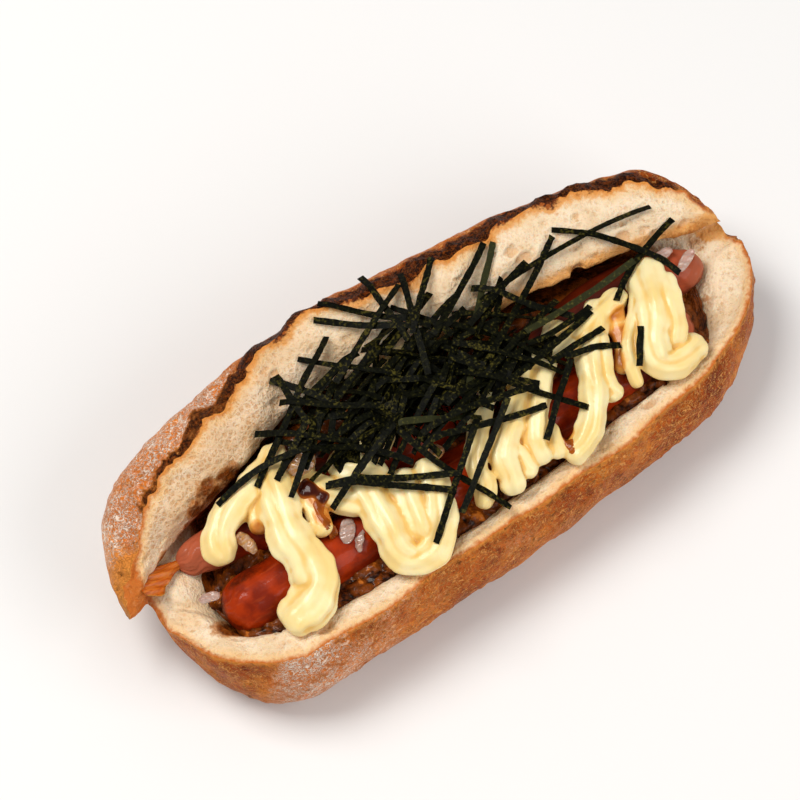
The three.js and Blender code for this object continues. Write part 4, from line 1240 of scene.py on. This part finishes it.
def build_relish(material):
    """The bed of chopped onion in sauce: it fills the trough as a carried section whose top is
    heaped with bits, each the dome of one cell of a bent grid. It narrows at both ends, where
    the trough's floor rises to a shelf of bare crumb."""
    x = np.linspace(-93, 99, 280)
    front, back, floor, pocket = (line(x) for line in (trough_front_y, trough_back_y, trough_z, pocket_y))
    body = smooth(x, -93, -84) * (1 - smooth(x, 84, 97))
    behind = smooth(x, -88, -74) * (1 - smooth(x, 84, 97))
    rim_top = mix(SLIT_HEIGHT, RIM_HEIGHT, base_share(x))
    edge = mix(front + 2, crumb_edge_y(x) + 1.2, body)
    front_top = mix(floor + 4, rim_top - 4.6, body)
    lip = mix(back - 2, lip_y(x) - 4, behind)
    back_top = mix(floor + 2, lip_z(x) - 8, behind)
    column = lambda y, z: np.stack([y + 0 * x, z + 0 * x], axis=-1)
    inner = 0.25
    knots = np.stack([
        column(edge, front_top),
        column(mix(edge, front, 0.6) + 0.5, mix(front_top, floor, 0.45)),
        column(front + inner, floor + 1),
        column(mix(front, back, 0.5), floor + 0.6),
        column(back - inner, floor + 1),
        column(mix(back, pocket, 0.6), mix(floor, back_top, 0.45)),
        column(mix(pocket, lip, 0.5), mix(floor, back_top, 0.9)),
        column(lip, back_top),
        column(mix(lip, edge, 0.35), mix(back_top, front_top, 0.35) + 0.5),
        column(mix(lip, edge, 0.7), mix(back_top, front_top, 0.7) - 0.5),
    ], axis=1)
    rings, place = section_rings(x, knots, RELISH_SPANS)
    top = np.maximum(smooth(place, 6.3, 7.2), 1 - smooth(place, 0.2, 0.9))
    bent = rings + np.stack([noise(rings, 3.5, 71 + k) for k in range(3)], axis=-1) * 1.3
    near, number = cell_field(bent, 3.0, 81)
    domes = np.sqrt(np.maximum(1 - (near / 0.75) ** 2, 0)) * mix(0.5, 1, number)
    small, small_number = cell_field(bent, 1.5, 85)
    crumbs = np.sqrt(np.maximum(1 - (small / 0.8) ** 2, 0))
    relief = top * (1.9 * domes + 0.7 * crumbs + 0.7 * rough(rings, 8, 2, 87) - 0.8)
    ends = smooth(x, -93, -88) * (1 - smooth(x, 94, 99))
    centre = np.stack([x, mix(edge, back, 0.5), floor + 2.5], axis=-1)[:, None, :]
    rings = rings + grid_normals(rings) * outward(rings) * relief[..., None]
    rings = mix(centre, rings, mix(0.2, 1, ends)[:, None, None])
    points, faces = capped(rings)
    poles = [0.5, 0.5]
    values = {
        "bit": np.concatenate([(domes * 0.65 + crumbs * 0.35).ravel(), poles]),
        "tone": np.concatenate([mix(number, small_number, 0.35).ravel(), poles]),
    }
    piece = add_mesh("relish_bed", points, faces, [material], values)
    finish_piece(piece, "relish", "relish")
    return piece


# Onion: thin curved petals, each (x, y, z, length, width, thickness, turn, tilt)

ONION_FLAKES = (
    (-46.5, -18.2, 44.2, 8, 5, 1.6, 0.9, 0),
    (-44.8, -22.5, 43.4, 7.5, 3, 1.5, 0.9, -0.5),
    (-93, -12.5, 39.5, 7, 3.2, 1.6, 2.9, -0.1),
    (-48.5, 5.5, 53.2, 9.5, 8, 4, 0.3, 0.1),
    (-75, -5.5, 45.8, 8.5, 4, 3.2, 1.75, 0.1),
    (14, 3.5, 51.5, 7, 6, 4, 0.6, 0),
    (-11, -12.5, 50, 6, 5, 3.6, 0.2, 0),
    (88, 8.5, 44, 11, 3.6, 1.7, 0.1, 0.2),
    (95, 3.5, 43.2, 9, 3.4, 1.6, 0.5, 0.1),
)
# Places in that list of the flakes that the sauce has stained
STAINED_FLAKES = (3, 4, 5, 6)


def petal_skin(flake, number):
    """A curved petal: a flattened ball, curled down along its length, with a wavy, ribbed face."""
    x, y, z, length, width, thickness, turn, tilt = flake
    latitude = np.linspace(0.02, np.pi - 0.02, 40)[:, None]
    longitude = np.linspace(0, 2 * np.pi, 48, endpoint=False)[None, :]
    ball = np.stack([
        np.cos(latitude) + 0 * longitude,
        np.sin(latitude) * np.cos(longitude),
        np.sin(latitude) * np.sin(longitude),
    ], axis=-1)
    ragged = 1 + 0.08 * rough(ball * 4 + number * 9, 2.2, 2, 91)
    across = np.sign(ball[..., 1]) * np.abs(ball[..., 1]) ** 0.75
    local = np.stack([ball[..., 0] * length / 2, across * width / 2, ball[..., 2] * thickness / 2], axis=-1)
    local *= ragged[..., None]
    local[..., 2] += -1.6 * (local[..., 0] / length) ** 2 + 0.25 * np.sin(local[..., 0] * 2.1 + local[..., 1])
    local[..., 2] += 0.08 * np.sin(local[..., 1] * 4 + number)
    cos_tilt, sin_tilt, cos_turn, sin_turn = np.cos(tilt), np.sin(tilt), np.cos(turn), np.sin(turn)
    tipped = np.array([[1, 0, 0], [0, cos_tilt, -sin_tilt], [0, sin_tilt, cos_tilt]])
    turned = np.array([[cos_turn, -sin_turn, 0], [sin_turn, cos_turn, 0], [0, 0, 1]])
    return capped(local @ (turned @ tipped).T + [x, y, z])


# Seaweed

class Landscape:
    """The height of the food under each place, on a grid, so that what is laid on it can rest."""

    STEP = 0.8

    def __init__(self, pieces):
        self.low = np.array([ROLL_LEFT - 10, -65.0])
        cells = ((np.array([ROLL_RIGHT + 10, 65.0]) - self.low) / self.STEP).astype(int) + 1
        self.top = np.full(cells, -1.0)
        for piece in pieces:
            self.raise_to(points_of(piece))
        for _ in range(3):
            padded = np.pad(self.top, 1, mode="edge")
            shifted = [padded[i:i + cells[0], j:j + cells[1]] for i, j in np.ndindex(3, 3)]
            self.top = np.where(self.top < 0, np.max(shifted, axis=0), self.top)

    def cells_of(self, places):
        """The grid's cell at each place."""
        cell = np.round((places[..., :2] - self.low) / self.STEP).astype(int)
        return tuple(np.clip(cell[..., k], 0, self.top.shape[k] - 1) for k in (0, 1))

    def raise_to(self, points):
        """Raises the ground to these points where they are higher."""
        np.maximum.at(self.top, self.cells_of(points), points[..., 2])

    def height(self, places):
        """The ground's height at each place."""
        return self.top[self.cells_of(places)]


def taut(under, step, steepest=0.55):
    """Heights of a stiff line that rests on the ground under it: the ground, or the mean of its two
    neighbours if that is higher, over and over, and then nowhere steeper than the given slope."""
    height = under.copy()
    for _ in range(80):
        height[1:-1] = np.maximum(under[1:-1], (height[:-2] + height[2:]) / 2)
    for i in range(1, len(height)):
        height[i] = max(height[i], height[i - 1] - steepest * step)
    for i in range(len(height) - 2, -1, -1):
        height[i] = max(height[i], height[i + 1] - steepest * step)
    return height


def lay_shred(land, start, end, width, thickness, bow, twist, lift, rng):
    """A stiff ribbon laid on the food. Its middle line is straight but for a sideways bow, and its
    height is that of a taut line over what lies under it. Returns its rings of four corners."""
    start, end = np.array(start, float), np.array(end, float)
    length = np.linalg.norm(end - start)
    count = int(length / 1.4) + 3
    share = np.linspace(0, 1, count)
    along = (end - start) / length
    across = np.array([-along[1], along[0]])
    middle = mix(start, end, share[:, None])
    middle = middle + across * (bow * 4 * share * (1 - share) + 0.12 * np.sin(share * 9 + bow))[:, None]
    slope = np.gradient(middle, axis=0)
    slope /= np.linalg.norm(slope, axis=1, keepdims=True)
    level_side = np.stack([-slope[:, 1], slope[:, 0]], axis=-1)
    under = np.max([land.height(middle + level_side * width * k) for k in (-0.5, 0, 0.5)], axis=0)
    height = taut(under, length / (count - 1))
    turn = twist[0] + (twist[1] - twist[0]) * share
    rise = np.abs(np.sin(turn)) * width / 2
    centre = np.column_stack([middle, height + lift + rise + thickness / 2])
    flat = np.column_stack([level_side, np.zeros(count)])
    up = np.array([0, 0, 1.0])
    side = flat * np.cos(turn)[:, None] + up * np.sin(turn)[:, None]
    face = np.cross(np.gradient(centre, axis=0), side)
    face /= np.linalg.norm(face, axis=1, keepdims=True)
    ragged = 1 + 0.06 * rng.standard_normal(count)
    half = side * (width / 2 * ragged)[:, None]
    thick = face * thickness / 2
    lower = [centre - half - thick, centre + half - thick]
    upper = [centre + half + thick, centre - half + thick]
    land.raise_to(centre + up * thickness / 2)
    land.raise_to(centre + half)
    land.raise_to(centre - half)
    return np.stack(lower + upper, axis=1)


# The shreds that stand out, each (start x, start y, end x, end y, bow) as seen from above
LOOSE_SHREDS = (
    (39, 37, 8, 18, 0.5), (42, 36, 23, 17, 0), (60, 29, 18, 2, 0), (93, 22, 28, 21, -3),
    (48, 26, 20, 16, 0), (28, 27, 51, 3, 0), (50, 11, 14, -2, 0), (98, 16, 65, 0, -2),
    (61, 31, 89, -1, 3), (78, 9, 34, 5, 0), (57, 3, 32, 1, 1), (56, -6, 35, -7, 0),
    (58, -13, 40, -8, 0), (56, 1, 20, -7, 0.5), (12, 13, 38, -13, 0),
    (7, 4, 37, -26, 0.5), (41, -10, 20, -28, 0), (27, -13, -13, -8, -1), (26, -19, -12, -11, 0),
    (0, -39, -19, -4, 1), (16, -12, -15, -34, 0), (5, -12, -27, -38, 0), (-45, -5, -9, -24, 0),
    (-46, -5, -13, -28, 0.5), (-48, -12, -19, -2, 0), (-64, 6, -37, 25, 0), (-20, 36, -43, 21, 0),
    (-58, 4, -38, 16, 0), (-40, 34, -41, 13, 0), (-55, 22, -33, 1, 0), (-77, 8, -45, 6, 3),
    (-44, 25, -19, 4, 0), (-17, 46, 9, 21, 0), (-21, 42, 4, 23, 0), (0, 48, 0, 20, 0),
    (11, 42, -1, 7, 0), (22, 41, 2, 21, 0),
    (8, 38, -26, 21, 0), (66, -12, 59, -22, 0),
)

# The share of shreds painted paler as painted sheen, for those that catch the light, and how pale they are
SHEEN_SHARE_IN_HEAP = 0.06
SHEEN_SHARE_AMONG_LOOSE = 0.05
PAINTED_SHEEN = 0.12

# The heap's middle and how far it reaches from there, along X and Y, and the outline of its mat
HEAP_MIDDLE = (-6, 9)
HEAP_REACH = (42, 19)
heap_middle_y = curve((-40, 0), (-20, 8), (5, 8), (30, 3), (42, -1))
heap_half_width = curve((-40, 2), (-28, 8), (-5, 13), (15, 12), (32, 6), (42, 1.5))


def matted_core(land):
    """The tangle in the heap's middle: a thin dark mat with a ragged edge, laid on the food."""
    x = np.linspace(-40, 42, 120)
    across = np.linspace(-1, 1, 40)
    half = heap_half_width(x) + 1.6 * np.sin(x * 0.9) + 1.1 * np.sin(x * 0.5 + 1)
    y = heap_middle_y(x)[:, None] + half[:, None] * across
    grid = np.stack([x[:, None] + 0 * y, y], axis=-1)
    steps = np.array([(i, j) for i in (-1.2, 0, 1.2) for j in (-1.2, 0, 1.2)])
    ground = np.mean([land.height(grid + step) for step in steps], axis=0)
    lumps = 0.8 + 0.4 * noise(np.dstack([grid, 0 * y]), 3, 5)
    thick = 1.5 * np.sqrt(np.maximum(1 - across ** 2, 0)) * lumps
    lower = np.dstack([grid, ground - 0.2])
    upper = np.dstack([grid, ground + thick])
    land.raise_to(upper)
    return capped(np.concatenate([lower, upper[:, ::-1]], axis=1))


def build_nori(land, sizes, material):
    """The heap of seaweed: short shreds matted over its middle, then the long ones that lie loose on
    top, each resting on what was laid before it."""
    rng = np.random.default_rng(7)
    shred_width = in_mm(sizes.shred_width)
    thickness = in_mm(sizes.shred_thickness)
    core = matted_core(land)
    shreds = []
    pale = []
    for i in range(sizes.heap_shreds):
        reach = ((i + 0.5) / sizes.heap_shreds) ** 0.75
        angle = i * GOLDEN_ANGLE * 3 + 0.5
        x = HEAP_MIDDLE[0] + HEAP_REACH[0] * reach * np.cos(angle)
        y = HEAP_MIDDLE[1] + HEAP_REACH[1] * reach * np.sin(angle)
        turn = (0.5, 0.35, -0.75)[i % 3] + 0.8 * (rng.random() - 0.5)
        half = rng.uniform(9, 17)
        step = np.array([np.cos(turn), np.sin(turn)]) * half
        twist = rng.normal(0, 0.5, 2)
        width = shred_width * rng.uniform(0.85, 1.1)
        bow = rng.normal(0, 1)
        shreds.append(lay_shred(land, (x, y) - step, (x, y) + step, width, thickness, bow, twist, 0, rng))
        pale.append(rng.random() < SHEEN_SHARE_IN_HEAP)
    for x0, y0, x1, y1, bow in LOOSE_SHREDS:
        twist = rng.normal(0, 0.25, 2)
        shreds.append(lay_shred(land, (x0, y0), (x1, y1), shred_width, thickness, bow, twist, 0.1, rng))
        pale.append(rng.random() < SHEEN_SHARE_AMONG_LOOSE)
    points, faces, numbers = joined([core] + [capped(rings) for rings in shreds])
    # Painted sheen: a few whole shreds made paler
    pale = np.array([False] + pale, float)
    piece = add_mesh("nori_shreds", points, faces, [material], {"pale": pale[numbers] * PAINTED_SHEEN})
    piece.data.polygons.foreach_set("use_smooth", np.zeros(len(piece.data.polygons), bool))
    finish_piece(piece, "nori", "nori")
    return piece


# Sauce: each run is (path seen from above, half width, thickness)

SAUCE_RUNS = (
    (((-53, 0), (-50, -4), (-48, -9)), 2.6, 1.2),
    (((-50, -7), (-52, -12), (-50.5, -18)), 1.5, 0.5),
    (((29, -22), (27, -29), (25.5, -35)), 1.3, 0.5),
)


def build_sauce(land, material):
    """Thin runs of sauce: flat lenses that follow the surface under them and sink into it at the rim."""
    skins = []
    thick = []
    for number, (path, half_width, depth) in enumerate(SAUCE_RUNS):
        knots = np.column_stack([np.array(path, float), np.zeros(len(path))])
        centres, across, _, distance, length = spine_frames(knots, 40)
        angle = np.linspace(0, 2 * np.pi, 28, endpoint=False)
        tips = blunt_end(distance, half_width, 0.2) * blunt_end(length - distance, half_width, 0.2)
        width = half_width * tips
        width *= 1 + 0.25 * np.sin(distance * 0.7 + number)
        rings = centres[:, None, :] + across[:, None, :] * (np.cos(angle) * width[:, None])[..., None]
        steps = [(i, j, 0) for i in (-0.9, 0, 0.9) for j in (-0.9, 0, 0.9)]
        ground = np.mean([land.height(rings + np.array(step)) for step in steps], axis=0)
        dome = np.sin(angle) * np.minimum(width[:, None] / half_width, 1)
        rings[..., 2] = ground + np.where(dome > 0, dome * depth, dome * 1.2) - 0.15
        skins.append(capped(rings))
        thick.append(np.concatenate([np.maximum(dome, 0).ravel(), [0, 0]]) * min(1, depth))
    points, faces, _ = joined(skins)
    piece = add_mesh("sauce_runs", points, faces, [material], {"thick": np.concatenate(thick)})
    finish_piece(piece, "relish")
    return piece


# Settings

def colour_setting(name, description, red, green, blue):
    """A colour in the panel, from display values of 0 to 255."""
    return bpy.props.FloatVectorProperty(
        name=name, description=description, subtype="COLOR", size=4, min=0, max=1,
        default=paint(red, green, blue))


def length_setting(name, description, default):
    """A length in the panel, in metres."""
    return bpy.props.FloatProperty(
        name=name, description=description, default=default, min=0, precision=4, unit="LENGTH")


class HotDogSizes(bpy.types.PropertyGroup):
    """Sizes of what fills the roll."""

    sausage_radius: length_setting("Sausage radius", "Half of a sausage's thickness", 0.0096)
    shred_width: length_setting("Shred width", "Width of a shred of seaweed", 0.0021)
    shred_thickness: length_setting("Shred thickness", "Thickness of a shred of seaweed", 0.0003)
    heap_shreds: bpy.props.IntProperty(
        name="Shreds in the heap", description="Short shreds matted together under the loose ones",
        default=100, min=1)


class HotDogColours(bpy.types.PropertyGroup):
    """Colours of the food."""

    crust: colour_setting("Crust", "Well-baked crust", 172, 76, 8)
    crust_dark: colour_setting("Deep crust", "Darker blotches of the crust", 122, 46, 3)
    crust_pale: colour_setting("Pale crust", "Golden patches of the crust", 220, 126, 38)
    flour: colour_setting("Flour", "Dusting on the crust", 246, 232, 216)
    crumb: colour_setting("Crumb", "Inside of the bread", 241, 221, 191)
    crumb_shade: colour_setting("Deeper crumb", "Denser patches of the crumb", 231, 203, 165)
    sausage: colour_setting("Sausage", "Casing", 164, 48, 2)
    sausage_dark: colour_setting("Browned sausage", "Browned patches of the casing", 118, 28, 2)
    mayonnaise: colour_setting("Mayonnaise", "Its main colour", 247, 230, 175)
    mayonnaise_deep: colour_setting("Deeper mayonnaise", "Its deeper patches", 241, 212, 140)
    relish: colour_setting("Relish", "Sauce-soaked onion", 118, 56, 8)
    relish_dark: colour_setting("Dark relish", "Its darkest bits", 34, 10, 2)
    sauce: colour_setting("Sauce", "Thin sauce", 58, 14, 3)
    nori: colour_setting("Seaweed", "Shreds", 19, 20, 7)
    nori_dark: colour_setting("Dark seaweed", "Darker parts of the shreds", 6, 7, 3)


class HotDogStage(bpy.types.PropertyGroup):
    """Where it is seen from, and the light on it."""

    azimuth_degrees: bpy.props.FloatProperty(
        name="Azimuth", description="Turn of the view from straight ahead, in degrees", default=-32.5)
    elevation_degrees: bpy.props.FloatProperty(
        name="Elevation", description="Height of the view above level, in degrees", default=65.0)
    distance: bpy.props.FloatProperty(
        name="Distance", description="From the camera to what it looks at", default=1.1, unit="LENGTH")
    target: bpy.props.FloatVectorProperty(
        name="Target", description="What the camera looks at", size=3, default=(0.002, 0.0279, 0.0),
        subtype="XYZ", unit="LENGTH")
    lens: bpy.props.FloatProperty(
        name="Lens", description="Focal length in millimetres", default=151.0)
    key_power: bpy.props.FloatProperty(
        name="Key light", description="Power of the main light", default=12.8, unit="POWER")
    fill_power: bpy.props.FloatProperty(
        name="Fill light", description="Power of the soft light from the front", default=10.5, unit="POWER")
    floor: colour_setting("Floor", "Colour of the floor", 238, 238, 238)


# Operators

def pieces_named(*names):
    """The finished pieces of these names."""
    missing = [name for name in names if name not in bpy.data.objects]
    if missing:
        raise RuntimeError("these pieces have to be made first: " + ", ".join(missing))
    return [bpy.data.objects[name] for name in names]


class HOTDOG_OT_bun(bpy.types.Operator):
    """Makes the split roll"""

    bl_idname = "hotdog.bun"
    bl_label = "Bread"

    def execute(self, context):
        build_bun(context.scene.hot_dog_colours)
        return {"FINISHED"}


class HOTDOG_OT_sausages(bpy.types.Operator):
    """Makes both sausages and the casing's tail"""

    bl_idname = "hotdog.sausages"
    bl_label = "Sausages"

    def execute(self, context):
        material = sausage_finish(context.scene.hot_dog_colours)
        radius = in_mm(context.scene.hot_dog_sizes.sausage_radius)
        build_sausage("front_sausage", "sausage_front", FRONT_SAUSAGE, radius, SMOOTH_TIP, material)
        build_sausage("back_sausage", "sausage_back", BACK_SAUSAGE, radius, KNOTTED_TIP, material)
        build_casing_tail(casing_finish())
        return {"FINISHED"}


class HOTDOG_OT_mayonnaise(bpy.types.Operator):
    """Makes the piped mayonnaise"""

    bl_idname = "hotdog.mayonnaise"
    bl_label = "Mayonnaise"

    def execute(self, context):
        material = mayonnaise_finish(context.scene.hot_dog_colours)
        for node in MAYONNAISE:
            build_mayonnaise(node.replace("mayonnaise", "piped"), node, material)
        return {"FINISHED"}


class HOTDOG_OT_relish(bpy.types.Operator):
    """Makes the bed of chopped onion in sauce"""

    bl_idname = "hotdog.relish"
    bl_label = "Relish"

    def execute(self, context):
        build_relish(relish_finish(context.scene.hot_dog_colours))
        return {"FINISHED"}


class HOTDOG_OT_onion(bpy.types.Operator):
    """Makes the loose flakes of onion"""

    bl_idname = "hotdog.onion"
    bl_label = "Onion flakes"

    def execute(self, context):
        clear = onion_finish("onion_clear", paint(224, 188, 172), paint(196, 140, 114))
        stained = onion_finish("onion_stained", paint(226, 168, 96), paint(160, 84, 28))
        for i, flake in enumerate(ONION_FLAKES):
            points, faces = petal_skin(flake, i)
            material = stained if i in STAINED_FLAKES else clear
            piece = add_mesh(f"onion_petal_{i + 1}", points, faces, [material])
            finish_piece(piece, "onion", f"onion_{i + 1}")
        return {"FINISHED"}


class HOTDOG_OT_toppings(bpy.types.Operator):
    """Makes the runs of sauce and the heap of seaweed, on the pieces under them"""

    bl_idname = "hotdog.toppings"
    bl_label = "Sauce and seaweed"

    def execute(self, context):
        colours = context.scene.hot_dog_colours
        petals = [f"onion_petal_{i + 1}" for i in range(len(ONION_FLAKES))]
        piped = [node.replace("mayonnaise", "piped") for node in MAYONNAISE]
        under = pieces_named("bread", "front_sausage", "back_sausage", "relish_bed", *piped, *petals)
        land = Landscape(under)
        build_sauce(land, sauce_finish(colours))
        build_nori(land, context.scene.hot_dog_sizes, nori_finish(colours))
        return {"FINISHED"}


class HOTDOG_OT_stage(bpy.types.Operator):
    """Sets the floor, the lights and the camera"""

    bl_idname = "hotdog.stage"
    bl_label = "Stage"

    def execute(self, context):
        stage = context.scene.hot_dog_stage
        build_floor(stage)
        build_lights(stage)
        build_camera(stage)
        return {"FINISHED"}


def build_floor(stage):
    """A wide pale floor."""
    half = 3000
    points = np.array([(-half, -half, 0), (half, -half, 0), (half, half, 0), (-half, half, 0)], float)
    material = plain_finish("floor_paint", stage.floor, 0.9)
    floor = add_mesh("floor", points, [np.array([[0, 1, 2, 3]])], [material])


def add_area_light(name, place, target, size, power, colour):
    """A square soft light that looks at a target, with places in metres."""
    light = bpy.data.lights.new(name, "AREA")
    light.shape = "SQUARE"
    light.size = size
    light.energy = power
    light.color = colour
    lamp = bpy.data.objects.new(name, light)
    lamp.location = place
    lamp.rotation_euler = (Vector(target) - Vector(place)).to_track_quat("-Z", "Y").to_euler()
    bpy.context.scene.collection.objects.link(lamp)


# What the lights look at and where they are, in metres, and how bright the sky is
LIT_POINT = (0, 0, 0.03)
KEY_PLACE = (-0.42, 0.38, 1.2)
FILL_PLACE = (0.6, -1.0, 0.9)
SKY_STRENGTH = 0.32


def build_lights(stage):
    """A soft key from behind on the left, a wide fill from the front, and an even pale sky."""
    add_area_light("key", KEY_PLACE, LIT_POINT, 0.6, stage.key_power, (1.0, 0.97, 0.93))
    add_area_light("fill", FILL_PLACE, LIT_POINT, 1.1, stage.fill_power, (1.0, 0.98, 0.96))
    world = bpy.data.worlds.new("sky")
    world.use_nodes = True
    sky = world.node_tree.nodes["Background"]
    sky.inputs["Color"].default_value = (1.0, 0.99, 0.98, 1.0)
    sky.inputs["Strength"].default_value = SKY_STRENGTH
    bpy.context.scene.world = world
    bpy.context.scene.view_settings.view_transform = "Standard"


def build_camera(stage):
    """A camera that looks at the target from the given azimuth, elevation and distance."""
    azimuth = np.radians(stage.azimuth_degrees)
    elevation = np.radians(stage.elevation_degrees)
    level = np.cos(elevation)
    away = Vector((np.sin(azimuth) * level, -np.cos(azimuth) * level, np.sin(elevation)))
    camera = bpy.data.cameras.new("view")
    camera.lens = stage.lens
    camera.sensor_width = 36
    viewer = bpy.data.objects.new("view", camera)
    viewer.location = Vector(stage.target) + away * stage.distance
    viewer.rotation_euler = (-away).to_track_quat("-Z", "Y").to_euler()
    bpy.context.scene.collection.objects.link(viewer)
    bpy.context.scene.camera = viewer


OPERATORS = (
    HOTDOG_OT_stage,
    HOTDOG_OT_bun,
    HOTDOG_OT_sausages,
    HOTDOG_OT_mayonnaise,
    HOTDOG_OT_relish,
    HOTDOG_OT_onion,
    HOTDOG_OT_toppings,
)


class HOTDOG_PT_panel(bpy.types.Panel):
    """Lists the pieces, their sizes and colours, and the stage"""

    bl_idname = "HOTDOG_PT_panel"
    bl_label = "Hot dog"
    bl_space_type = "VIEW_3D"
    bl_region_type = "UI"
    bl_category = "Hot dog"

    def draw(self, context):
        for operator in OPERATORS:
            self.layout.operator(operator.bl_idname)
        scene = context.scene
        for group in (scene.hot_dog_sizes, scene.hot_dog_colours, scene.hot_dog_stage):
            for key in group.__annotations__:
                self.layout.prop(group, key)


CLASSES = (HotDogSizes, HotDogColours, HotDogStage, *OPERATORS, HOTDOG_PT_panel)


def register():
    """Adds the settings, operators and panel to Blender."""
    for item in CLASSES:
        bpy.utils.register_class(item)
    bpy.types.Scene.hot_dog_sizes = bpy.props.PointerProperty(type=HotDogSizes)
    bpy.types.Scene.hot_dog_colours = bpy.props.PointerProperty(type=HotDogColours)
    bpy.types.Scene.hot_dog_stage = bpy.props.PointerProperty(type=HotDogStage)


def unregister():
    """Takes them away again."""
    del bpy.types.Scene.hot_dog_stage
    del bpy.types.Scene.hot_dog_colours
    del bpy.types.Scene.hot_dog_sizes
    for item in reversed(CLASSES):
        bpy.utils.unregister_class(item)


def main():
    """Makes every piece in order."""
    register()
    bpy.ops.hotdog.stage()
    bpy.ops.hotdog.bun()
    bpy.ops.hotdog.sausages()
    bpy.ops.hotdog.mayonnaise()
    bpy.ops.hotdog.relish()
    bpy.ops.hotdog.onion()
    bpy.ops.hotdog.toppings()


if __name__ == "__main__":
    main()
